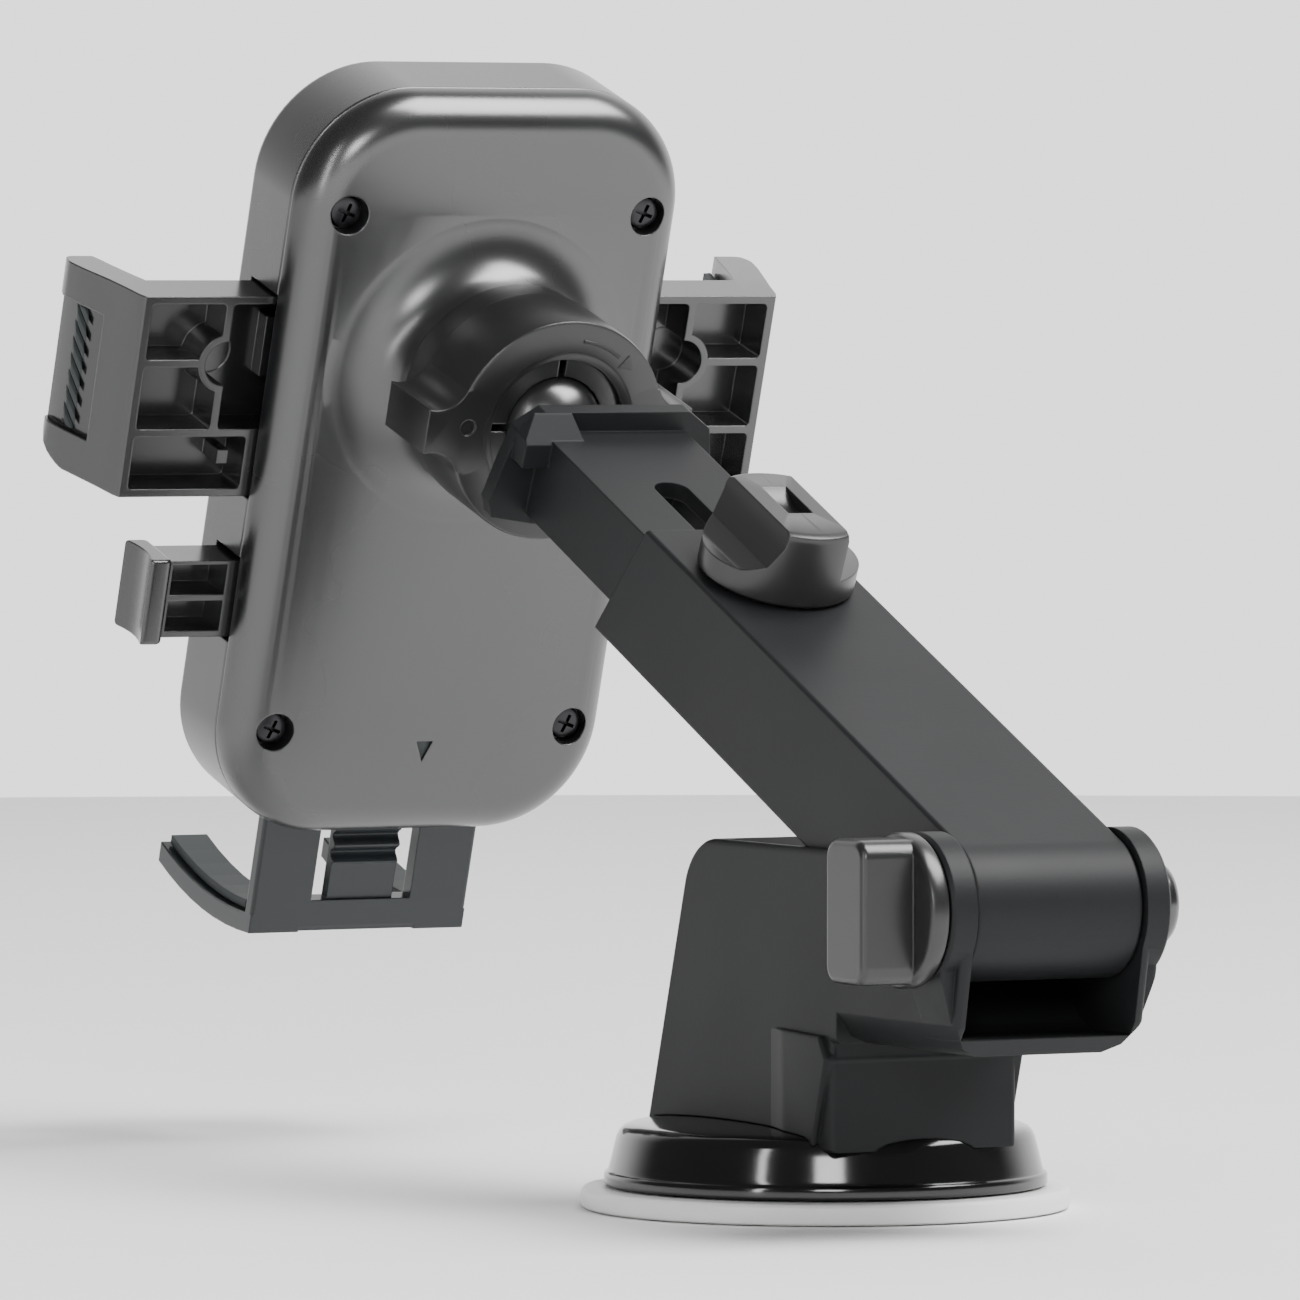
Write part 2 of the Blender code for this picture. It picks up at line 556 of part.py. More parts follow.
def crown(target, height, width, segments):
    """Round the rim of the face that lies at a given y."""
    bm = bmesh.new()
    bm.from_mesh(target.data)
    rim = [edge for edge in bm.edges
           if all(abs(vert.co.y - height * MM) < 1e-6 for vert in edge.verts)
           and any(abs(face.normal.y) < 0.5 for face in edge.link_faces)]
    bmesh.ops.bevel(bm, geom=rim, offset=width * MM, segments=segments, profile=0.5,
                    affect="EDGES", clamp_overlap=True)
    bm.to_mesh(target.data)
    bm.free()
    return target


def screw_places():
    return [(side * SCREW_X, SCREW_MID + end * SCREW_HALF) for end in (1, -1)
            for side in (-1, 1)]


def make_back_cover():
    cover = crown(head_plate("back_cover", COVER_RIM, COVER_BACK, 0.0), COVER_BACK, 6.2, 4)
    hollow = crown(head_plate("cover_hollow", COVER_RIM - 2.0, COVER_BACK - WALL, WALL),
                   COVER_BACK - WALL, 5.0, 3)
    boss_profile = [(0, -14.4), (14.2, -14.4), (15.0, -15.2)]
    boss_profile += [(26.0 - 10.6 * math.cos(a), COVER_BACK - 0.2 + 7.4 * (1 - math.sin(a)))
                     for a in (math.radians(d) for d in range(10, 91, 16))]
    boss_profile += [(27.0, COVER_BACK - 1.2), (0, COVER_BACK - 1.2)]
    boss = turned("cover_boss", boss_profile, head_frame, axis="Y", sides=40)
    well = drum("boss_well", (0, -20.4, 0), (0, -10.0, 0), 13.25, head_frame, sides=40)
    posts, holes = [], []
    for number, (x, z) in enumerate(screw_places(), start=1):
        posts.append(drum("cover_post_%d" % number, (x, COVER_RIM, z), (x, COVER_BACK - 1.0, z),
                          3.6, head_frame, sides=20))
        holes.append(drum("screw_well_%d" % number, (x, -26.2, z), (x, -20.0, z), 3.0,
                          head_frame, sides=24))
        holes.append(drum("screw_hole_%d" % number, (x, -32.0, z), (x, -25.0, z), 1.6,
                          head_frame, sides=16))
    cut(cover, hollow)
    join(cover, boss, *posts)
    node(cut(cover, well, *holes), black_satin)

    for number, (x, z) in enumerate(screw_places(), start=1):
        screw = drum("head_screw_%d" % number, (x, -37.0, z), (x, -25.7, z), 1.25, head_frame,
                     sides=12)
        head = drum("screw_top_%d" % number, (x, -25.9, z), (x, -24.3, z), 2.6, head_frame,
                    sides=20)
        node(join(screw, head), steel)


def make_front_shell():
    shell = crown(head_plate("front_shell", SHELL_FRONT, SHELL_RIM, 0.0), SHELL_FRONT, 1.6, 2)
    hollow = head_plate("shell_hollow", SHELL_FRONT + WALL, SHELL_RIM + 2, WALL)
    claw_gates = [block("claw_gate_%d" % side,
                        (min(side * 28, side * 36), CLAW_FRONT - 0.4, CLAW_LOW - 0.4),
                        (max(side * 28, side * 36), SHELL_RIM + 2, CLAW_TOP + 0.4), head_frame)
                  for side in (-1, 1)]
    button_gates = [block("button_gate_%d" % side,
                          (min(side * 28, side * 36), -38.0, -45.6),
                          (max(side * 28, side * 36), SHELL_RIM + 2, -32.0), head_frame)
                    for side in (-1, 1)]
    foot_gate = block("foot_gate", (-FOOT_X - 0.4, FOOT_FRONT - 0.4, HEAD_DOWN - 4),
                      (FOOT_X + 0.4, FOOT_BACK + 0.4, HEAD_DOWN + 4), head_frame)
    post = drum("pinion_post", (0, SHELL_FRONT + 1, PINION_Z), (0, -34.5, PINION_Z), 2.0,
                head_frame, sides=20)
    stops = [block("spring_stop_%d" % side,
                   (min(side * 11.5, side * 13.0), SHELL_FRONT + 1.5, -42.0),
                   (max(side * 11.5, side * 13.0), -32.0, -35.6), head_frame)
             for side in (-1, 1)]
    posts, holes = [], []
    for number, (x, z) in enumerate(screw_places(), start=1):
        posts.append(drum("shell_post_%d" % number, (x, SHELL_FRONT + 1, z), (x, SHELL_RIM, z),
                          3.6, head_frame, sides=20))
        holes.append(drum("post_hole_%d" % number, (x, -38.0, z), (x, -28.0, z), 1.5,
                          head_frame, sides=16))
    holes.append(drum("pinion_post_hole", (0, -41.6, PINION_Z), (0, -30.0, PINION_Z), 1.15,
                      head_frame, sides=16))
    cut(shell, hollow, *claw_gates, *button_gates, foot_gate)
    join(shell, post, *stops, *posts)
    node(cut(shell, *holes), black_satin)

    pad = head_plate("front_pad", SHELL_FRONT - 1.9, SHELL_FRONT - GAP, 5.0)
    node(pad, rubber)


def tooth(name, place, height, root, tip, home):
    """Rack tooth: trapezoid in the XZ plane pointing up (height > 0) or down."""
    x, z = place
    outline = [(x - root / 2, z), (x + root / 2, z), (x + tip / 2, z + height),
               (x - tip / 2, z + height)]
    if height < 0:
        outline = outline[::-1]
    return plate(name, outline, RACK_FRONT, RACK_BACK, home, "XZ")


def make_pinion():
    teeth, root_r, tip_r = 12, 4.9, 6.7
    outline = []
    for index in range(teeth):
        middle = 360.0 / teeth * index
        for offset, radius in ((-9.5, root_r), (-4.5, tip_r), (4.5, tip_r), (9.5, root_r)):
            angle = math.radians(middle + offset)
            outline.append((radius * math.sin(angle), PINION_Z + radius * math.cos(angle)))
    gear = plate("pinion", outline[::-1], RACK_FRONT, RACK_BACK, head_frame, "XZ")
    hub = drum("pinion_hub", (0, RACK_BACK - 0.5, PINION_Z), (0, -34.6, PINION_Z), 3.6,
               head_frame, sides=24)
    bore = drum("pinion_bore", (0, -45, PINION_Z), (0, -30, PINION_Z), 2.3, head_frame, sides=20)
    node(cut(join(gear, hub), bore), black_satin)
    screw = drum("pinion_screw", (0, -41.0, PINION_Z), (0, -34.0, PINION_Z), 0.9, head_frame,
                 sides=12)
    join(screw, drum("pinion_screw_top", (0, -34.2, PINION_Z), (0, -32.8, PINION_Z), 3.2,
                     head_frame, sides=20))
    node(screw, steel)
    spring = coil("claw_spring", (0, -38.4, PINION_Z), 5.4, 0.9, 3.0, 3.6, head_frame, axis="Y")
    node(spring, steel)


def make_claw(side, word):
    """One claw: pocketed arm, flared jaw and a rack that reaches past the pinion."""
    def span(name, x_pair, y_pair, z_pair):
        xs = sorted(side * x for x in x_pair)
        return block("%s_%s" % (name, word), (xs[0], y_pair[0], z_pair[0]),
                     (xs[1], y_pair[1], z_pair[1]), head_frame)

    claw = span("claw", (CLAW_ROOT, CLAW_OUT), (CLAW_FRONT, CLAW_BACK), (CLAW_LOW, CLAW_TOP))
    claw.name = "claw_%s" % word
    jaw_profile = [(CLAW_OUT - 4.6, CLAW_BACK - 1.0), (CLAW_OUT - 4.2, -36.2), (51.2, -42.5),
                   (52.6, -48.0), (53.2, -51.2), (57.2, -50.6), (58.3, -47.0), (56.6, -40.5),
                   (54.6, -34.0), (CLAW_OUT, CLAW_BACK - 0.6)]
    jaw_outline = [(side * x, y) for x, y in jaw_profile]
    jaw = plate("claw_jaw_" + word, jaw_outline, CLAW_LOW, CLAW_TOP, head_frame, "XY")
    nose = plate("claw_nose_" + word,
                 [(-28.0, CLAW_TOP + 1), (-44.0, CLAW_TOP + 1), (-52.5, CLAW_TOP - 1.6),
                  (-52.5, -17.0), (-49.5, -20.6), (-45.5, CLAW_LOW - 1), (-28.0, CLAW_LOW - 1)],
                 min(side * 40, side * 62), max(side * 40, side * 62), head_frame)
    trim(jaw, nose)
    wall_x = 38.6
    pockets = [span("pocket_high", (wall_x + 1.2, 52.2), (-37.0, -25.0), (0.8, 8.2)),
               span("pocket_mid", (wall_x + 1.2, 52.2), (-37.0, -25.0), (-10.0, -0.4)),
               span("pocket_low", (34.0, 52.2), (-37.0, -25.0), (-21.0, -11.2)),
               span("pocket_in", (CLAW_ROOT + 1.5, wall_x), (-37.0, -25.0), (-10.0, 8.2))]
    notch_x = side * wall_x
    ring = drum("claw_ring_" + word, (notch_x, -37.2, 0.2), (notch_x, CLAW_BACK, 0.2), 4.6,
                head_frame, sides=28)
    trim(ring, span("ring_half", (wall_x, wall_x + 6), (-38.0, -29.0), (-6.0, 6.0)))
    ring_bore = drum("claw_ring_bore_" + word, (notch_x, -37.0, 0.2), (notch_x, -25.0, 0.2), 3.4,
                     head_frame, sides=28)

    rack_side = 1 if side > 0 else -1
    near = PINION_Z + rack_side * (PINION_R + 1.4)
    far = PINION_Z + rack_side * (PINION_R + 5.4)
    rack = span("claw_rack", (-8.0, CLAW_ROOT + 2.0), (RACK_FRONT, RACK_BACK),
                sorted((near, far)))
    link = span("claw_link", (CLAW_ROOT - 1.0, CLAW_ROOT + 2.0), (RACK_FRONT, CLAW_BACK),
                sorted((PINION_Z + rack_side * 2.0, far)))
    pitch = 2 * math.pi * PINION_R / 12
    teeth = []
    for index in range(-2, 8):
        x = side * (index + 0.5) * pitch
        if -7.0 < side * x < CLAW_ROOT - 3:
            teeth.append(tooth("rack_tooth_%s_%d" % (word, index),
                               (x, near + rack_side * 0.2), -rack_side * 1.7, 1.7, 0.8,
                               head_frame))
    join(claw, jaw)
    cut(claw, *pockets)
    join(claw, ring, rack, link, *teeth)
    cut(claw, ring_bore)
    node(claw, black_satin)

    pad_profile = [(49.95, -38.9), (50.85, -42.6), (52.2, -48.0), (52.7, -50.4),
                   (51.4, -50.2), (50.2, -45.8), (48.9, -40.5), (48.7, -38.9)]
    inset = plate("claw_pad_" + word, [(side * x, y) for x, y in pad_profile], -17.5, 6.5,
                  head_frame, "XY")
    node(inset, rubber)


def make_button(side, word):
    """Release button: stem through the side wall and a dished paddle."""
    low, high = -45.2, -32.4
    xs = sorted((side * 25.5, side * 46.0))
    stem = block("button_" + word, (xs[0], -37.4, low), (xs[1], -30.2, high), head_frame)
    paddle_shape = [(43.6, -28.6), (47.6, -28.6), (46.6, -33.4), (47.6, -38.8), (43.6, -38.8)]
    paddle = plate("button_paddle_" + word, [(side * x, y) for x, y in paddle_shape],
                   low - 0.4, high + 0.4, head_frame, "XY")
    soften(paddle, 0.7, 2)
    pockets = []
    for row in (0, 1):
        z_low = low + 1.2 + row * 6.2
        ends = sorted((side * 33.5, side * 42.6))
        pockets.append(block("button_pocket_%s_%d" % (word, row), (ends[0], -36.2, z_low),
                             (ends[1], -25.0, z_low + 4.9), head_frame))
    seat = drum("button_seat_" + word, (side * 20.0, -33.8, -38.8), (side * 29.2, -33.8, -38.8),
                2.95, head_frame, sides=20)
    node(cut(join(stem, paddle), *pockets, seat), black_satin)
    spring = coil("button_spring_" + word, (side * 13.5, -33.8, -38.8), 2.2, 0.8, 4.0,
                  side * 11.2, head_frame, axis="X")
    node(spring, steel)


def prong_height(forward):
    """Underside of a prong; forward runs from 0 at the plate to 1 at the tip."""
    return FOOT_LOW - 8.9 * forward + 8.0 * forward ** 2


def prong_outline(thickness, start, end, offset=0.0, steps=8):
    """Side outline of a prong between two shares of its length."""
    shares = [start + (end - start) * i / steps for i in range(steps + 1)]
    length = FOOT_BACK - PRONG_TIP
    lower = [(FOOT_BACK - length * t, prong_height(t) + offset) for t in shares]
    return lower + [(y, z + thickness) for y, z in reversed(lower)]


def make_foot():
    plate_body = block("foot", (-FOOT_X, FOOT_FRONT, FOOT_LOW + 0.4), (FOOT_X, FOOT_BACK, FOOT_TOP),
                       head_frame)
    soften(plate_body, 0.5, 2)
    window = block("foot_window", (-8.5, FOOT_FRONT - 2, -90.4), (8.5, FOOT_BACK + 2, -58.0),
                   head_frame)
    tongue_low, tongue_high, pitch = -91.0, -62.0, 2.8
    ribs = []
    count = int((tongue_high - tongue_low - 6) / pitch * 6)
    for index in range(count + 1):
        z = tongue_high - index * pitch / 6
        ribs.append((FOOT_BACK - 0.9 + 0.6 * math.cos(2 * math.pi * index / 6), z))
    tongue = plate("foot_tongue", ribs + [(FOOT_BACK - 0.6, tongue_low + 1.5),
                                          (FOOT_BACK - 0.6, tongue_low),
                                          (FOOT_FRONT + 0.2, tongue_low),
                                          (FOOT_FRONT + 0.2, tongue_high)],
                   -5.6, 5.6, head_frame)
    prongs = [plate("foot_prong_%d" % side, prong_outline(PRONG_T, 0.0, 1.0),
                    min(side * PRONG_IN, side * FOOT_X), max(side * PRONG_IN, side * FOOT_X),
                    head_frame) for side in (-1, 1)]
    for prong in prongs:
        soften(prong, 0.5, 2)
    sill = block("foot_sill", (-FOOT_X + 0.5, FOOT_FRONT, FOOT_LOW + 0.2),
                 (FOOT_X - 0.5, FOOT_BACK - 0.1, -91.5), head_frame)
    cut(plate_body, window)
    node(join(plate_body, tongue, *prongs, sill), black_satin)
    for side, word in ((1, "left"), (-1, "right")):
        outline = prong_outline(1.3, 0.14, 0.97, PRONG_T + GAP, 6)
        pad = plate("foot_pad_" + word, outline, min(side * (PRONG_IN + 1.2), side * (FOOT_X - 1.2)),
                    max(side * (PRONG_IN + 1.2), side * (FOOT_X - 1.2)), head_frame)
        node(pad, rubber)


make_suction()
make_pedestal()
make_base_screws()
make_lever()
make_pivot()
make_lower_arm()
make_length_knob()
make_upper_arm()
make_ball_joint()
make_back_cover()
make_front_shell()
make_pinion()
for claw_side, claw_word in ((1, "left"), (-1, "right")):
    make_claw(claw_side, claw_word)
    make_button(claw_side, claw_word)
make_foot()
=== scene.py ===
# %% [markdown]
# # A telescopic phone mount, dressed for its portrait
#
# The mount is a suction base, a swinging arm that slides in and out, a ball joint and a clip head.
# The engineering model gives every piece its place and its size. This lesson keeps the pieces
# whose shape is already right and only gives them a finish. The pieces that catch the eye, such as
# the pillowed back cover, are modelled again with softer edges and finer detail.

# %% Load the engineering model as a fixed frame
import json
import math

import bmesh
import bpy
from mathutils import Matrix, Vector

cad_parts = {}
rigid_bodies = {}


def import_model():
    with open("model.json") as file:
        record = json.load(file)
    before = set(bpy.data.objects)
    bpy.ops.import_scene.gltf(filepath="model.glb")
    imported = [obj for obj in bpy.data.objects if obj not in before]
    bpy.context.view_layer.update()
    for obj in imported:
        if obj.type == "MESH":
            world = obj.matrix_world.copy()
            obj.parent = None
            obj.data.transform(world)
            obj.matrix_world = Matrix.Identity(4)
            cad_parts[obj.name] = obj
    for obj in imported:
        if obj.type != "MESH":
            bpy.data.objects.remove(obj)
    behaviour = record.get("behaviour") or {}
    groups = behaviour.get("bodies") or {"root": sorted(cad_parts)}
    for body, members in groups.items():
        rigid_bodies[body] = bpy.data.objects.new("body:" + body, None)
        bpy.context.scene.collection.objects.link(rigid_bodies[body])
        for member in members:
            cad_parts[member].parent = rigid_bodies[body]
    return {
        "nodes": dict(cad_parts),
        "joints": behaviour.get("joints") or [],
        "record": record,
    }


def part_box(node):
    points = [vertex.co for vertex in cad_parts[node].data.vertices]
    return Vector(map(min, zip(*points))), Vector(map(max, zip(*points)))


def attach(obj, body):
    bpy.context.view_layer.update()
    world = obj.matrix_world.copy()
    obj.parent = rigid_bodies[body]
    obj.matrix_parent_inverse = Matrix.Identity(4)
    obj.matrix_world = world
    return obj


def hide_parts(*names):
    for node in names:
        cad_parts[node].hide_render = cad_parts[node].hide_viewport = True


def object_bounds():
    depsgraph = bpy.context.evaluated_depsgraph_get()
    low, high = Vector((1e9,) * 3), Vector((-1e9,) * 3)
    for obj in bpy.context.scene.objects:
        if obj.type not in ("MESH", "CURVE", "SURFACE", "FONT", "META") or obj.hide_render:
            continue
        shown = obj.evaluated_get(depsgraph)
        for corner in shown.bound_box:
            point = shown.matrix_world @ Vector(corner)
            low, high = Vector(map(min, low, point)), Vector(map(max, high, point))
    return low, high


for item in list(bpy.data.objects):
    bpy.data.objects.remove(item, do_unlink=True)
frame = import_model()
cad_low, cad_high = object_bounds()
joints = {joint["name"]: joint for joint in frame["joints"]}
print("engineering box in mm:", [round((b - a) * 1000, 1) for a, b in zip(cad_low, cad_high)])

# %% [markdown]
# Three frames carry the pieces. The base stands upright at the origin. The arm slopes, and the
# head leans back, so a piece that is drawn upright in its own frame is turned once at the end. The
# joints of the model say where the frames are: a hinge gives its axis and a point on it. Inside a
# frame the lengths are millimetres, which read more easily than thousandths of a metre.

# %% Frames of the base, the arm and the head
def frame_at(point, rearward):
    """Frame at a point: x across, y along rearward, z square to both; it takes millimetres."""
    across = Vector((1, 0, 0))
    back = Vector(rearward).normalized()
    turn = Matrix((across, back, across.cross(back))).transposed().to_4x4()
    return Matrix.Translation(Vector(point)) @ turn @ Matrix.Scale(0.001, 4)


pivot = Vector(joints["arm_swing"]["pos_m"])
ball = Vector(joints["head_roll"]["pos_m"])
base_frame = Matrix.Scale(0.001, 4)
arm_frame = frame_at(pivot, -Vector(joints["arm_extend"]["axis"]))
head_frame = frame_at(ball, joints["head_roll"]["axis"])
ball_reach = (ball - pivot).length * 1000
print("pivot to ball: %.1f mm" % ball_reach)

# A flat drawing is laid into a frame by one of these: its x, y and height become ...
FACE_BACK = Matrix(((1, 0, 0, 0), (0, 0, 1, 0), (0, 1, 0, 0), (0, 0, 0, 1)))   # x, z, y
FACE_SIDE = Matrix(((0, 0, 1, 0), (1, 0, 0, 0), (0, 1, 0, 0), (0, 0, 0, 1)))   # y, z, x
ALONG_X = Matrix(((0, 0, 1, 0), (0, 1, 0, 0), (-1, 0, 0, 0), (0, 0, 0, 1)))
ALONG_Y = Matrix(((1, 0, 0, 0), (0, 0, 1, 0), (0, -1, 0, 0), (0, 0, 0, 1)))

# %% [markdown]
# ## Finishes
#
# Nearly everything here is ABS, the tough plastic of car interiors, moulded black and lightly
# filled. What changes from piece to piece is the mould. A spark-eroded mould leaves a fine dull
# grain on the arm. A brushed and blasted mould gives the head a satin skin that smears each lamp
# into a long soft band. A polished mould makes the dome shine. One helper turns a hex colour into
# the linear numbers the shader wants, and one adds a node.

# %% Colour and node helpers
def linear(code):
    """A hex colour such as 2b2c2e in linear light."""
    parts = [int(code[i:i + 2], 16) / 255 for i in (0, 2, 4)]
    return [c / 12.92 if c <= 0.04045 else ((c + 0.055) / 1.055) ** 2.4 for c in parts] + [1.0]


def add(tree, kind, settings=None, links=None):
    """New node; settings fill its sockets or fields, links join sockets to other outputs."""
    made = tree.nodes.new(kind)
    for key, value in (settings or {}).items():
        if key in made.inputs:
            made.inputs[key].default_value = value
        else:
            setattr(made, key, value)
    for key, source in (links or {}).items():
        tree.links.new(source, made.inputs[key])
    return made


def new_finish(name):
    """Empty material and its Principled shader."""
    made = bpy.data.materials.new(name)
    made.use_nodes = True
    return made, made.node_tree, made.node_tree.nodes["Principled BSDF"]


# %% [markdown]
# A moulded grain is made from two noises. The fine one is the grain itself: real spark grain is
# about 0.1 mm, too fine for a picture of the whole mount, so it is drawn at 0.35 mm. The broad one
# is the faint change of gloss over a few centimetres that handling and flow of the melt leave.
# A Bevel node rounds the shading at every hard edge by a few tenths of a millimetre, which is the
# radius any mould has, so the edges catch light without extra faces.

# %% Moulded ABS in several mould finishes
def moulded(name, dark, light, gloss, grain_mm, depth, ior=1.53, shine=0.5, edge_mm=0.35):
    """Black ABS: two close colours, a roughness range, grain size and depth in mm, its shine."""
    made, tree, shader = new_finish(name)
    place = add(tree, "ShaderNodeTexCoord")
    fine = add(tree, "ShaderNodeTexNoise", {"Scale": 1000.0 / grain_mm / 2.0, "Detail": 3.0},
               {"Vector": place.outputs["Object"]})
    broad = add(tree, "ShaderNodeTexNoise", {"Scale": 45.0, "Detail": 2.0},
                {"Vector": place.outputs["Object"]})
    tint = add(tree, "ShaderNodeMix", {"data_type": "RGBA"},
               {"Factor": broad.outputs["Fac"]})
    tint.inputs[6].default_value = linear(dark)
    tint.inputs[7].default_value = linear(light)
    sheen = add(tree, "ShaderNodeMapRange", {"From Min": 0.1, "From Max": 0.9,
                                             "To Min": gloss[0], "To Max": gloss[1]},
                {"Value": broad.outputs["Fac"]})
    edge = add(tree, "ShaderNodeBevel", {"samples": 6, "Radius": edge_mm * 0.001})
    grain = add(tree, "ShaderNodeBump", {"Strength": 1.0, "Distance": depth * 0.001},
                {"Height": fine.outputs["Fac"], "Normal": edge.outputs["Normal"]})
    tree.links.new(tint.outputs[2], shader.inputs["Base Color"])
    tree.links.new(sheen.outputs["Result"], shader.inputs["Roughness"])
    tree.links.new(grain.outputs["Normal"], shader.inputs["Normal"])
    shader.inputs["IOR"].default_value = ior
    shader.inputs["Specular IOR Level"].default_value = shine
    return made


# A spark-eroded mould: dull, almost without reflections. Arm, column and lever.
grained_abs = moulded("spark_grained_abs", "17181a", "1c1d1e", (0.46, 0.54), 0.35, 0.012,
                      shine=0.20)
# A brushed and blasted mould: long soft reflections, as on the head's cover.
satin_abs = moulded("satin_abs", "151516", "191a1b", (0.25, 0.31), 0.30, 0.002, 1.95)
# The same, a little glossier, on the claws, buttons and cap.
clip_abs = moulded("clip_satin_abs", "161617", "1b1b1c", (0.20, 0.27), 0.30, 0.002, 1.85)
# A lighter satin for what the hand turns, so the knobs stand out.
knob_abs = moulded("knob_satin_abs", "19191a", "1f1f20", (0.28, 0.34), 0.30, 0.002, 1.60)
# The foot is moulded from a slightly blue black.
foot_abs = moulded("slate_satin_abs", "171b1e", "1c2124", (0.26, 0.32), 0.30, 0.002, 1.50)
# A polished mould: a mirror skin for the dome.
gloss_abs = moulded("polished_abs", "0b0b0c", "0e0e0f", (0.10, 0.14), 0.40, 0.001, 1.60)

# %% [markdown]
# The claws, the face and the foot touch the phone through soft rubber. Rubber is dull because its
# filler breaks up the surface, so it gets a high roughness and a coarser grain. The pad under the
# base is a clear-white polyurethane gel. Light enters it and comes out a few millimetres away,
# which subsurface scattering copies.

# %% Rubber, gel and zinc-plated steel
# Moulded rubber: dull and slightly grey, for the face, the claws' pads and the washers.
rubber = moulded("moulded_rubber", "2b3031", "323839", (0.58, 0.68), 0.50, 0.020, 1.52)

# Clear-white polyurethane gel: soft edges and no hard shadow inside, for the suction pad.

gel, gel_tree, gel_shader = new_finish("white_polyurethane_gel")
gel_shader.inputs["Base Color"].default_value = linear("e9eae8")
gel_shader.inputs["Subsurface Weight"].default_value = 0.6
gel_shader.inputs["Subsurface Radius"].default_value = (0.004, 0.004, 0.004)
gel_shader.inputs["Subsurface Scale"].default_value = 1.0
gel_shader.inputs["IOR"].default_value = 1.48
gel_place = add(gel_tree, "ShaderNodeTexCoord")
gel_cloud = add(gel_tree, "ShaderNodeTexNoise", {"Scale": 140.0, "Detail": 2.0},
                {"Vector": gel_place.outputs["Object"]})
gel_rough = add(gel_tree, "ShaderNodeMapRange", {"To Min": 0.32, "To Max": 0.44},
                {"Value": gel_cloud.outputs["Fac"]})
gel_edge = add(gel_tree, "ShaderNodeBevel", {"samples": 6, "Radius": 0.0003})
gel_bump = add(gel_tree, "ShaderNodeBump", {"Strength": 0.6, "Distance": 0.00004},
               {"Height": gel_cloud.outputs["Fac"], "Normal": gel_edge.outputs["Normal"]})
gel_tree.links.new(gel_rough.outputs["Result"], gel_shader.inputs["Roughness"])
gel_tree.links.new(gel_bump.outputs["Normal"], gel_shader.inputs["Normal"])

# Steel with a thin zinc plating: grey metal with a fine uneven gloss, for springs and bolts.
zinc, zinc_tree, zinc_shader = new_finish("zinc_plated_steel")
zinc_shader.inputs["Base Color"].default_value = linear("7d7d80")
zinc_shader.inputs["Metallic"].default_value = 1.0
zinc_place = add(zinc_tree, "ShaderNodeTexCoord")
zinc_cloud = add(zinc_tree, "ShaderNodeTexNoise", {"Scale": 900.0, "Detail": 3.0},
                 {"Vector": zinc_place.outputs["Object"]})
zinc_rough = add(zinc_tree, "ShaderNodeMapRange", {"To Min": 0.25, "To Max": 0.42},
                 {"Value": zinc_cloud.outputs["Fac"]})
zinc_tree.links.new(zinc_rough.outputs["Result"], zinc_shader.inputs["Roughness"])

# The same steel, blackened by a passivation bath, for the four screws of the head.
dark_zinc = zinc.copy()
dark_zinc.name = "blackened_zinc_steel"
dark_zinc.node_tree.nodes["Principled BSDF"].inputs["Base Color"].default_value = linear("3c3c3e")

# %% [markdown]
# ## Modelling helpers
#
# Each new piece follows the same road. A few corner points make a face, its corners are rounded,
# the face is pulled into a solid, and the solid's rims are rounded. Round pieces are a profile
# spun about an axis. Where a hole or a pocket is needed, one solid is carved out of another.

# %% Draw, pull, spin and round
def drawn(corners):
    """Bmesh with one flat face through (x, y) corners."""
    bm = bmesh.new()
    bm.faces.new([bm.verts.new((x, y, 0)) for x, y in corners])
    return bm


def rounded_corners(bm, radius, picks=None, segments=8):
    """Round the face's corners; picks are (x, y) points, or every corner."""
    chosen = [v for v in bm.verts
              if picks is None or any((v.co.xy - Vector(p)).length < 0.01 for p in picks)]
    bmesh.ops.bevel(bm, geom=chosen, offset=radius, segments=segments, profile=0.5,
                    affect="VERTICES", material=-1)
    return bm


def pulled(bm, low, high):
    """Pull the flat face into a solid between two heights."""
    bmesh.ops.translate(bm, vec=(0, 0, low), verts=bm.verts)
    grown = bmesh.ops.extrude_face_region(bm, geom=bm.faces[:], use_keep_orig=True)
    upper = [v for v in grown["geom"] if isinstance(v, bmesh.types.BMVert)]
    bmesh.ops.translate(bm, vec=(0, 0, high - low), verts=upper)
    bmesh.ops.recalc_face_normals(bm, faces=bm.faces)
    return bm


def rims(bm, height=None, sharper=40):
    """Edges sharper than an angle in degrees, all of them or those at one height."""
    return [e for e in bm.edges
            if e.is_manifold and e.calc_face_angle() > math.radians(sharper)
            and (height is None or all(abs(v.co.z - height) < 0.01 for v in e.verts))]


def rounded_rims(bm, width, height=None, segments=4, sharper=40):
    """Round the chosen rims."""
    bmesh.ops.bevel(bm, geom=rims(bm, height, sharper), offset=width, segments=segments,
                    profile=0.5, affect="EDGES", clamp_overlap=True, material=-1)
    return bm


def slab(corners, low, high):
    """Plain solid over a drawn face."""
    return pulled(drawn(corners), low, high)


def oblong(low, high):
    """Box between two corners."""
    bm = bmesh.new()
    bmesh.ops.create_cube(bm, size=1.0)
    low, high = Vector(low), Vector(high)
    bmesh.ops.scale(bm, vec=high - low, verts=bm.verts)
    bmesh.ops.translate(bm, vec=(low + high) / 2, verts=bm.verts)
    return bm


def rod(radius, low, high, at=(0, 0), segments=48):
    """Upright round bar at (x, y)."""
    bm = bmesh.new()
    bmesh.ops.create_cone(bm, cap_ends=True, segments=segments, radius1=radius,
                          radius2=radius, depth=high - low)
    bmesh.ops.translate(bm, vec=(*at, (low + high) / 2), verts=bm.verts)
    return bm


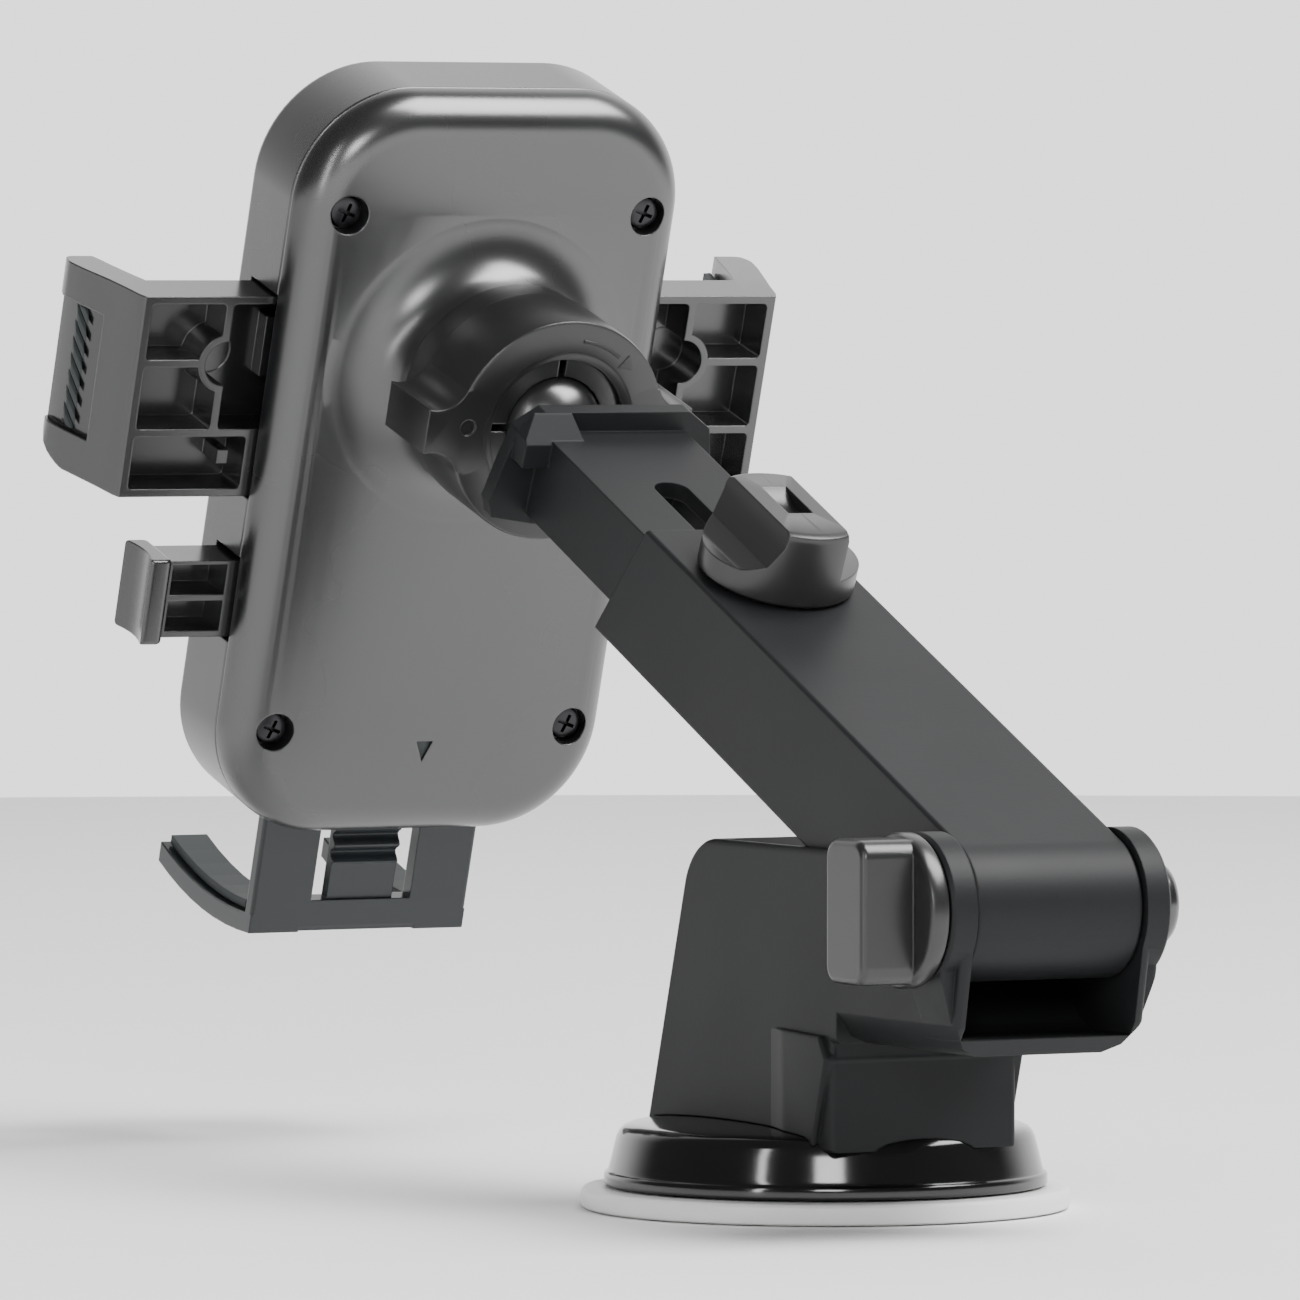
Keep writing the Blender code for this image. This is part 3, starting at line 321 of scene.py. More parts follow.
def spun(profile, steps=96):
    """Surface of revolution about z from (radius, height) points; a ring if none is on the axis."""
    bm = bmesh.new()
    verts = [bm.verts.new((r, 0, z)) for r, z in profile]
    edges = [bm.edges.new(pair) for pair in zip(verts, verts[1:])]
    if all(r > 0 for r, z in profile):
        edges.append(bm.edges.new((verts[-1], verts[0])))
    bmesh.ops.spin(bm, geom=verts + edges, axis=(0, 0, 1), cent=(0, 0, 0),
                   angle=2 * math.pi, steps=steps, use_merge=True)
    bmesh.ops.remove_doubles(bm, verts=bm.verts, dist=0.0001)
    bmesh.ops.recalc_face_normals(bm, faces=bm.faces)
    return bm


def turned(bm, matrix):
    """Move or turn a bmesh in its own millimetres."""
    bmesh.ops.transform(bm, matrix=matrix, verts=bm.verts)
    if matrix.determinant() < 0:
        bmesh.ops.reverse_faces(bm, faces=bm.faces)
    return bm


def combined(body, others, how):
    """Exact boolean of one bmesh with each of the others."""
    workers = []
    for bm in [body, *others]:
        mesh = bpy.data.meshes.new("work")
        bm.to_mesh(mesh)
        bm.free()
        worker = bpy.data.objects.new("work", mesh)
        bpy.context.scene.collection.objects.link(worker)
        workers.append(worker)
    for other in workers[1:]:
        step = workers[0].modifiers.new("step", "BOOLEAN")
        step.operation = how
        step.solver = "EXACT"
        step.object = other
    result = bmesh.new()
    result.from_object(workers[0], bpy.context.evaluated_depsgraph_get())
    for worker in workers:
        bpy.data.objects.remove(worker, do_unlink=True)
    return result


def carved(body, *cutters):
    return combined(body, cutters, "DIFFERENCE")


def fused(body, *others):
    return combined(body, others, "UNION")


# %% [markdown]
# A finished piece is placed in the model's frame, shaded smooth with its sharp edges kept, and
# attached to the moving body it rides on. The engineering nodes it stands for are hidden.

# %% Put a piece in place
record = frame["record"]
body_of_node = {node: body for body, nodes in record["behaviour"]["bodies"].items()
                for node in nodes}
slot_of_node = {entry["node"]: entry["material_slot"] for entry in record["subparts"]}


def finished(name, bm, place, finish, like, hides=(), edge=0.0, smooth=32, weighted=True):
    """Object from a bmesh; like names the node whose body it shares."""
    turned(bm, place)
    mesh = bpy.data.meshes.new(name)
    bmesh.ops.recalc_face_normals(bm, faces=bm.faces)
    bm.to_mesh(mesh)
    bm.free()
    piece = bpy.data.objects.new(name, mesh)
    bpy.context.scene.collection.objects.link(piece)
    mesh.materials.append(finish)
    mesh.shade_smooth()
    mesh.set_sharp_from_angle(angle=math.radians(smooth))
    if edge:
        soft = piece.modifiers.new("soft_edges", "BEVEL")
        soft.width = edge * 0.001
        soft.segments = 3
        soft.limit_method = "ANGLE"
        soft.angle_limit = math.radians(smooth + 4)
        soft.harden_normals = True
        soft.use_clamp_overlap = True
    if weighted:
        even = piece.modifiers.new("even_shading", "WEIGHTED_NORMAL")
        even.keep_sharp = True
        even.weight = 80
    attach(piece, body_of_node[like])
    if hides:
        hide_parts(*hides)
    print("%-22s %6d faces" % (name, len(mesh.polygons)))
    return piece


# %% [markdown]
# ## Suction base
#
# The gel pad is a plain disc with a softened rim and a shallow well, under which the vacuum forms.
# The dome above it is a spun shell: a nearly flat crown, a tight shoulder, a conical skirt that
# dips into a groove, and a thin brim that presses on the gel.

# %% Gel pad and polished dome
pad_low, pad_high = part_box("gel_pad")
pad_r = (pad_high.x - pad_low.x) * 500
pad_t = pad_high.z * 1000
gel_profile = [(0, 1.0), (16.4, 1.0), (16.4, pad_t), (pad_r - 1.2, pad_t),
               (pad_r - 0.5, pad_t - 0.12), (pad_r - 0.1, pad_t - 0.5), (pad_r, pad_t - 1.0),
               (pad_r, 0.7), (pad_r - 0.15, 0.25), (pad_r - 0.6, 0.0), (0, 0)]
finished("gel_disc", spun(gel_profile, 128), base_frame, gel, "gel_pad", ["gel_pad"])

dome_crown = [(5.0, 13.06), (12.0, 12.9), (19.0, 12.6), (24.0, 12.3), (27.0, 12.05)]
dome_shoulder = [(28.2, 11.86), (29.0, 11.5), (29.5, 11.0), (29.85, 10.3), (30.2, 9.0), (30.6, 7.4),
                 (30.95, 6.0), (31.05, 5.55), (31.2, 5.25), (31.5, 5.1), (31.65, 4.9),
                 (31.7, 4.5), (31.7, 3.6), (31.5, 3.35), (31.2, 3.32)]
dome_inside = [(29.2, 3.32), (28.6, 8.2), (27.2, 9.7), (14.0, 10.8), (5.0, 11.0)]
finished("polished_dome", spun(dome_crown + dome_shoulder + dome_inside, 128), base_frame,
         gloss_abs, "dome_cover", ["dome_cover"])

# %% [markdown]
# ## Back cover of the head
#
# The cover is pillowed: a big round rim runs into a face that keeps rising a little towards the
# middle. Nested insets, each lifted by a few hundredths, give that crown, and smooth shading hides
# the steps. The round boss in the middle swells out of the face in a hollow curve, so its profile
# is spun and fused on. Four wells for the screws and a small pointer are carved last.

# %% Pillowed cover with its boss, wells and pointer
shell_low, shell_high = -76.0, 42.6          # along the head, from the ball
half_wide, corner_r = 32.0, 18.0
cover_seam, cover_face = -29.4, -22.6        # depths, rearward from the ball
screw_x, screw_z = 25.1, (24.5, -57.9)

cover = drawn([(-half_wide, shell_low), (half_wide, shell_low), (half_wide, shell_high),
               (-half_wide, shell_high)])
rounded_corners(cover, corner_r, segments=20)
pulled(cover, cover_seam, cover_face - 0.5)
rounded_rims(cover, 6.2, height=cover_face - 0.5, segments=12)
crown_face = max(cover.faces, key=lambda face: face.calc_center_median().z)
for inset, lift in ((2.0, 0.14), (3.0, 0.17), (3.0, 0.12), (3.0, 0.07)):
    bmesh.ops.inset_region(cover, faces=[crown_face], thickness=inset, depth=lift,
                           use_even_offset=True)

boss_curve = [(26.0 - 10.6 * math.cos(math.radians(a)),
               cover_face + 7.4 * (1 - math.sin(math.radians(a)))) for a in range(8, 80, 6)]
boss = spun([(0, -14.4), (13.6, -14.4), (14.4, -14.55), (14.95, -15.0)] + boss_curve
            + [(24.2, cover_face + 0.05), (25.6, cover_face - 0.45), (26.6, cover_face - 0.95),
               (26.6, cover_face - 1.6), (0, cover_face - 1.6)], 96)
wells = []
for x in (-screw_x, screw_x):
    for z in screw_z:
        wells.append(rod(3.0, -26.2, -20.0, (x, z)))
        wells.append(rod(1.6, -32.0, -25.0, (x, z), 24))
pointer_points = [(-1.7, -59.7), (1.1, -59.7), (-0.3, -63.1)]
pointer = slab(pointer_points, cover_face - 0.9, -20.0)
cover = carved(fused(cover, boss), rod(13.25, -20.4, -10.0), *wells, pointer)
finished("pillowed_cover", cover, head_frame @ FACE_BACK, satin_abs, "back_cover",
         ["back_cover"], smooth=35, weighted=False)
finished("pointer_inlay", slab(pointer_points, cover_face - 1.2, cover_face - 0.55),
         head_frame @ FACE_BACK, rubber, "back_cover", weighted=False)

# %% [markdown]
# The front shell has the cover's outline, so the same drawing is pulled forward from the seam. It
# is hollow, like a lid, and the gates in its sides let the claws, the buttons and the foot slide
# out.

# %% Front shell with its sliding gates
shell_front, shell_rim, shell_wall = -44.2, -29.7, 2.0
shells = []
for inset in (0.0, shell_wall):
    edge_x, low_z, high_z = half_wide - inset, shell_low + inset, shell_high - inset
    outline = drawn([(-edge_x, low_z), (edge_x, low_z), (edge_x, high_z), (-edge_x, high_z)])
    rounded_corners(outline, corner_r - inset, segments=20)
    shells.append(outline)
shell = pulled(shells[0], shell_front, shell_rim)
rounded_rims(shell, 1.6, height=shell_front, segments=5)
rounded_rims(shell, 0.35, height=shell_rim, segments=3)
gates = [oblong((-18.8, shell_low - 4, -38.3), (18.8, shell_low + 4, -34.9))]
for side in (-1, 1):
    gate_x = sorted((side * 28, side * 36))
    gates.append(oblong((gate_x[0], -22.7, -38.9), (gate_x[1], 9.8, -27.7)))
    gates.append(oblong((gate_x[0], -45.6, -38.0), (gate_x[1], -32.0, -27.7)))
shell = carved(shell, pulled(shells[1], shell_front + shell_wall, -27.7), *gates)
finished("front_lid", shell, head_frame @ FACE_BACK, satin_abs, "front_shell", ["front_shell"],
         smooth=35)

# %% [markdown]
# Four small screws hold the head together. Their pan heads are spun from a profile, and a cross is
# carved into each for the driver.

# %% Screws with crossed recesses
for number, (x, z) in enumerate([(side * screw_x, height) for height in screw_z
                                 for side in (-1, 1)], start=1):
    pan = spun([(0, -37.0), (1.25, -37.0), (1.25, -26.0), (2.6, -26.0), (2.6, -25.1),
                (2.35, -24.6), (1.7, -24.35), (0, -24.3)], 40)
    arms = []
    for turn in (20, 110):
        arm = drawn([(-1.5, -0.28), (1.5, -0.28), (1.5, 0.28), (-1.5, 0.28)])
        arms.append(turned(pulled(arm, -25.6, -24.0), Matrix.Rotation(math.radians(turn), 4, "Z")))
    pan = turned(carved(pan, *arms), Matrix.Translation((x, z, 0)))
    node = "head_screw_%d" % number
    finished("pan_screw_%d" % number, pan, head_frame @ FACE_BACK, dark_zinc, node, [node])

# %% [markdown]
# ## Ball nut
#
# The nut is a ring with two wings. Where a wing leaves the ring, a hollow fillet gives the thumb a
# purchase. That fillet is easiest as a subtraction: four round bars bite into one flat wing plate,
# and what remains runs tangent into the ring. The mark that shows the turning direction is a bent
# arrow, raised a little on the front face.

# %% Winged ring with its turn mark
nut_back, nut_front, nut_r = -14.1, 5.3, 17.3
wing_tip, bite_r, bite_at = 22.0, 5.0, (20.7, 8.3)
ring = spun([(12.0, nut_front - 0.3), (12.3, nut_front), (nut_r - 0.7, nut_front),
             (nut_r - 0.2, nut_front - 0.2), (nut_r, nut_front - 0.7), (nut_r, -8.0),
             (nut_r - 0.4, -8.4), (nut_r - 0.4, nut_back + 0.6), (nut_r - 1.0, nut_back),
             (13.4, nut_back), (13.4, 0.2), (12.1, 3.0), (10.9, 4.0), (11.0, 4.7)], 128)
wings = drawn([(-wing_tip, -6.44), (wing_tip, -6.44), (wing_tip, 6.44), (-wing_tip, 6.44)])
pulled(wings, -8.2, nut_front)
bites = [rod(bite_r, -20, 20, (sx * bite_at[0], sz * bite_at[1]), 64)
         for sx in (-1, 1) for sz in (-1, 1)]
wings = carved(wings, *bites, rod(15.0, -20, 20, segments=64))
rounded_rims(wings, 0.9, segments=4, sharper=60)
nut = fused(ring, wings)
dimple = turned(rod(1.25, 0, 2, segments=32), Matrix.Translation((15.2, 0.6, nut_front - 0.35)))
nut = carved(nut, dimple)
finished("winged_nut", nut, head_frame @ FACE_BACK, knob_abs, "ball_nut", ["ball_nut"],
         smooth=35, weighted=False)

arrow = bmesh.new()
stroke = [arrow.verts.new((14.0 * math.cos(a), 14.0 * math.sin(a), 0))
          for a in (math.radians(d) for d in range(98, 127, 4))]
for first, second in zip(stroke, stroke[1:]):
    arrow.edges.new((first, second))
grown = bmesh.ops.extrude_edge_only(arrow, edges=arrow.edges[:])
outer = [v for v in grown["geom"] if isinstance(v, bmesh.types.BMVert)]
bmesh.ops.scale(arrow, vec=(14.5 / 14.0, 14.5 / 14.0, 1), verts=outer)
head_at = math.radians(130)
tip_points = [(13.0, 0.0), (15.5, 0.0), (14.3, 2.2)]
across_tip = Matrix.Rotation(head_at, 4, "Z")
arrow.faces.new([arrow.verts.new(across_tip @ Vector((r, t, 0))) for r, t in tip_points])
bmesh.ops.recalc_face_normals(arrow, faces=arrow.faces)
raised = bmesh.ops.extrude_face_region(arrow, geom=arrow.faces[:], use_keep_orig=True)
bmesh.ops.translate(arrow, vec=(0, 0, 0.35),
                    verts=[v for v in raised["geom"] if isinstance(v, bmesh.types.BMVert)])
bmesh.ops.translate(arrow, vec=(0, 0, nut_front - 0.2), verts=arrow.verts)
finished("turn_arrow", arrow, head_frame @ FACE_BACK, knob_abs, "ball_nut", weighted=False)

# %% [markdown]
# ## Arm
#
# The lower arm is a square tube that ends in a barrel around the pivot. Drawn from the side it is
# a bar with one round end, so two corners of a rectangle are rounded by half the bar's depth. All
# long edges get a generous radius. The open end is cut on a slant, and the tube is hollowed so
# the upper arm can slide in it.

# %% Lower arm with its round barrel end
sleeve_x, sleeve_half = 13.15, 10.1
sleeve = drawn([(-118, -sleeve_half), (sleeve_half, -sleeve_half), (sleeve_half, sleeve_half),
                (-118, sleeve_half)])
rounded_corners(sleeve, sleeve_half - 0.01, [(sleeve_half, -sleeve_half),
                                             (sleeve_half, sleeve_half)], 24)
pulled(sleeve, -sleeve_x, sleeve_x)
rounded_rims(sleeve, 3.0, segments=8, sharper=60)
turned(sleeve, FACE_SIDE)
end_cut = turned(slab([(-100.0, 11.1), (-110.0, -11.1), (-130.0, -11.1), (-130.0, 11.1)],
                      -20, 20), FACE_SIDE)
sleeve = carved(sleeve, end_cut, oblong((-12.15, -125, -8.2), (12.15, -9, 8.4)),
                turned(rod(3.3, -20, 20), ALONG_X),
                turned(rod(2.7, 5, 14, segments=32), Matrix.Translation((0, -84.5, 0))))
finished("sleeve_arm", sleeve, arm_frame, grained_abs, "lower_arm", ["lower_arm"], smooth=38)

# %% [markdown]
# The upper arm is a channel, open below, that slides in the tube. A long slot in its top lets the
# clamping bolt pass. At its far end stands a flange with a faceted outline, and a small wedge
# braces it. The outline is drawn once for one half and mirrored with its points.

# %% Upper arm with its slot and faceted flange
bar = oblong((-11.9, -138.9, -5.2), (11.9, -38.0, 8.1))
flange_half = [(12.0, 11.2), (15.9, 8.4), (17.2, 3.0), (18.4, -3.2), (17.4, -5.8), (10.7, -6.9)]
flange = slab([(-x, z) for x, z in reversed(flange_half)] + flange_half, -141.1, -138.4)
turned(flange, FACE_BACK)
shoes = [oblong((x - 1.0, -52.0, -7.9), (x + 1.0, -38.0, -4.0)) for x in (-10.9, 10.9)]
brace = slab([(6.5, 8.0), (7.8, 11.2), (14.0, 11.2), (16.2, 8.2), (16.2, 4.0), (6.5, 4.0)],
             -138.5, -134.6)
turned(brace, FACE_BACK)
lean_cut = turned(slab([(-140.0, 13.0), (-138.2, 11.3), (-134.0, 7.0), (-130.0, 13.0)], 0, 20),
                  FACE_SIDE)
brace = carved(brace, lean_cut)
slot_cut = drawn([(-2.75, -120.75), (2.75, -120.75), (2.75, -42.25), (-2.75, -42.25)])
rounded_corners(slot_cut, 2.7, segments=10)
pulled(slot_cut, 2.0, 12.0)
bar = carved(fused(bar, flange, brace, *shoes),
             oblong((-9.9, -134.2, -12.0), (9.9, -40.0, 5.6)), slot_cut,
             turned(rod(2.2, 130, 145, segments=32), ALONG_Y))
finished("channel_arm", bar, arm_frame, grained_abs, "upper_arm", ["upper_arm"], edge=0.35)

# %% [markdown]
# The ball stands on a neck that flares into a foot against the flange. It is one profile, spun
# about the arm's length: foot, flare, neck and then an arc for the ball.

# %% Ball on its flared neck
ball_r, stud_foot = 8.5, -141.4
stud = [(0, stud_foot), (8.0, stud_foot), (8.2, stud_foot - 0.2), (8.2, stud_foot - 1.8),
        (6.2, stud_foot - 2.9), (5.0, stud_foot - 4.0), (4.6, stud_foot - 5.2)]
stud += [(ball_r * math.cos(math.radians(a)), -ball_reach + ball_r * math.sin(math.radians(a)))
         for a in range(57, -88, -4)] + [(0, -ball_reach - ball_r)]
finished("round_ball", turned(spun(stud, 96), ALONG_Y), arm_frame, satin_abs, "ball_stud",
         ["ball_stud"], weighted=False)

# %% [markdown]
# ## Knobs
#
# Both knobs are a disc with a wing to hold. On the length knob one flank of the wing runs down to
# the disc in a hollow curve and the other drops straight, so a thumb pushes and a finger pulls.
# Both flanks are carved out of a solid drum, the hollow one with a drawn outline, and a round dish
# lightens the top.

# %% Length knob
knob_at = Matrix.Translation((0, -84.5, 10.4))
drum = spun([(0, 11.4), (10.2, 11.4), (11.1, 11.0), (11.5, 10.2), (11.5, 0.4), (11.2, 0.0),
             (0, 0)], 96)
flank_low = oblong((-16.0, -14, 4.0), (-4.6, 14, 14))
side_cut = slab([(4.7, 12.5), (5.4, 9.0), (7.0, 5.6), (9.6, 4.0), (14.0, 3.7), (14.0, 12.5)],
                -14, 10.2)
turned(side_cut, FACE_BACK)
grip_dish = turned(rod(6.4, -2.0, 2.0, segments=64),
                   Matrix.Translation((0, -1.2, 16.0)) @ ALONG_X)
knob = carved(drum, side_cut, flank_low, grip_dish, rod(2.6, -1, 7.3, segments=32))
rounded_rims(knob, 0.45, segments=3, sharper=38)
turned(knob, knob_at)
finished("thumb_knob", knob, arm_frame, knob_abs, "length_knob", ["length_knob"], smooth=30)

# %% [markdown]
# The pivot knob is two discs and a block to hold. The block is drawn from the front, its corners
# and its outer rim are rounded, and it is fused to the spun collar. The cap on the other side hides
# the nut; it is a dome spun from a profile and mirrored by a negative scale along its axis.

# %% Pivot knob and cap
collar = turned(spun([(0, 20.7), (9.9, 20.7), (10.5, 20.4), (10.8, 19.8), (10.8, 18.3),
                      (10.5, 17.8), (0, 17.8)], 96), ALONG_X)
paddle = drawn([(-5.5, -10.0), (5.5, -10.0), (5.5, 10.0), (-5.5, 10.0)])
rounded_corners(paddle, 2.6, segments=6)
pulled(paddle, 19.0, 28.6)
rounded_rims(paddle, 1.0, height=28.6, segments=5)
turned(paddle, FACE_SIDE)
wing_knob = carved(fused(collar, paddle), turned(rod(3.3, 10, 24.7, segments=32), ALONG_X))
finished("wing_knob", turned(wing_knob, Matrix.Translation(pivot * 1000)), base_frame, knob_abs,
         "pivot_knob", ["pivot_knob"], edge=0.35)

cap = turned(spun([(0, 21.0), (4.95, 21.0), (4.95, 17.7), (6.0, 17.7), (6.3, 18.0), (6.35, 19.6),
                   (6.15, 20.6), (5.6, 21.4), (4.6, 22.0), (3.0, 22.3), (0, 22.4)], 64),
             ALONG_X @ Matrix.Diagonal((1, 1, -1, 1)))
finished("domed_cap", turned(cap, Matrix.Translation(pivot * 1000)), base_frame, clip_abs,
         "pivot_cap", ["pivot_cap"])

# %% [markdown]
# ## Column of the base
#
# The column leans back like a shoe and carries the arm between two cheeks. From the side it is one
# outline with a round nose on top. Round bosses thicken the cheeks at the pivot, straps run down
# from them, and a block braces the column's foot. The channel for the arm is carved last, so every
# wall keeps its thickness.

# %% Column with cheeks, bosses and foot block
column_low, column_top = 10.0, 52.6
front_lean = math.tan(math.radians(17.9))
front_foot = -26.5 - 1.6 * front_lean
front_top = front_foot + (column_top - column_low) * front_lean
pivot_y, pivot_z = pivot.y * 1000, pivot.z * 1000
side_view = [(front_foot, column_low), (29.0, column_low), (29.0, 25.4), (61.5, 25.4),
             (64.6, 29.6), (66.9, 40.6)]
side_view += [(pivot_y + 10.8 * math.cos(math.radians(a)),
               pivot_z + 10.8 * math.sin(math.radians(a))) for a in range(-15, 100, 7)]
side_view += [(30.0, column_top), (front_top, column_top)]
column = drawn(side_view)
rounded_corners(column, 6.5, [(front_top, column_top)], 12)
pulled(column, -15.0, 15.0)
rounded_rims(column, 1.0, height=15.0, segments=4, sharper=60)
rounded_rims(column, 1.0, height=-15.0, segments=4, sharper=60)
turned(column, FACE_SIDE)

block = drawn([(-15.0, 11.0), (-15.3, 13.2), (-16.0, 17.0), (-16.0, 32.0), (16.0, 32.0),
               (16.0, 17.0), (15.3, 13.2), (15.0, 11.0)])
pulled(block, 9.0, 27.4)
block_top = turned(slab([(0, 27.4), (15.0, 26.8), (27.2, 26.4), (29.2, 23.2), (25.0, 10.0),
                         (24.6, 8.0), (40, 8.0), (40, 40), (0, 40)], -20, 20), FACE_SIDE)
block = carved(block, block_top)
rounded_rims(block, 0.5, segments=3, sharper=45)

bosses, straps = [], []
for side in (-1, 1):
    boss = spun([(0, 17.4), (10.3, 17.4), (10.8, 16.9), (10.8, 12.0), (0, 12.0)], 96)
    turned(boss, Matrix.Translation((0, pivot_y, pivot_z)) @ ALONG_X
           @ Matrix.Diagonal((1, 1, side, 1)))
    bosses.append(boss)
    strap = drawn([(55.3, 27.6), (57.2, 26.4), (61.6, 26.6), (63.4, 29.4), (65.2, 41.0),
                   (54.6, 41.0)])
    pulled(strap, *sorted((side * 13.8, side * 17.2)))
    rounded_rims(strap, 0.7, segments=3, sharper=60)
    straps.append(turned(strap, FACE_SIDE))
channel = turned(slab([(-9.0, 53.0), (24.0, 43.0), (44.0, 36.0), (49.5, 29.2), (53.5, 27.8),
                       (80.0, 27.8), (80.0, 75.0), (-9.0, 75.0)], -13.45, 13.45), FACE_SIDE)
corner_cuts = []
for side in (-1, 1):
    corner = slab([(side * 9.6, 20.0), (side * 9.6, 25.3), (side * 12.6, 26.5),
                   (side * 14.9, 29.8), (side * 17.3, 37.0), (side * 24, 37.0), (side * 24, 20.0)],
                  30.6, 80.0)
    corner_cuts.append(turned(corner, FACE_BACK))
hollow = turned(slab([(-19.5, 5.0), (-18.0, 13.0), (-10.5, 38.5), (12.0, 38.5), (14.0, 5.0)],
                     -11.2, 11.2), FACE_SIDE)
lever = Vector(joints["lever_swing"]["pos_m"]) * 1000
lever_place = Matrix.Translation(lever) @ Matrix.Rotation(math.radians(-17.9), 4, "X")
window = turned(oblong((-10.7, -9.0, -8.9), (10.7, 1.5, 19.6)), lever_place)
dome_seat = spun([(0, 13.14)] + [(r, z + 0.08) for r, z in dome_crown + dome_shoulder[:2]]
                 + [(r + 0.1, z) for r, z in dome_shoulder[2:5]] + [(30.3, 0.0), (0, 0.0)], 96)
through = turned(rod(3.3, -20, 20, segments=32),
                 Matrix.Translation((0, pivot_y, pivot_z)) @ ALONG_X)
pin_way = turned(rod(1.75, -16, 14.2, segments=24), Matrix.Translation(lever) @ ALONG_X)
pilots = [rod(1.4, 9, 22, (x, 19.5), 20) for x in (-9, 9)]
column = carved(fused(column, block, *bosses, *straps), channel, hollow, window, dome_seat,
                through, pin_way, *corner_cuts, *pilots)
finished("leaning_column", column, base_frame, grained_abs, "pedestal", ["pedestal"], smooth=34)

# %% [markdown]
# ## Claws
#
# A claw is moulded like a drawer front: a thin outer skin, stiffened from behind by ribs, because
# a thick plastic part would sink as it cools. The jaw is drawn from above, where its curve shows,
# then trimmed from the side to round its lower corner. A recess in its outer face takes a panel of
# slanting ridges. The left claw is made, and the right one is the same drawing mirrored.

# %% One claw, and its mirror image
claw_top, claw_low = 9.4, -22.3
claw_back, claw_front = -30.1, -38.0
wall_x, ring_z = 38.6, -1.2


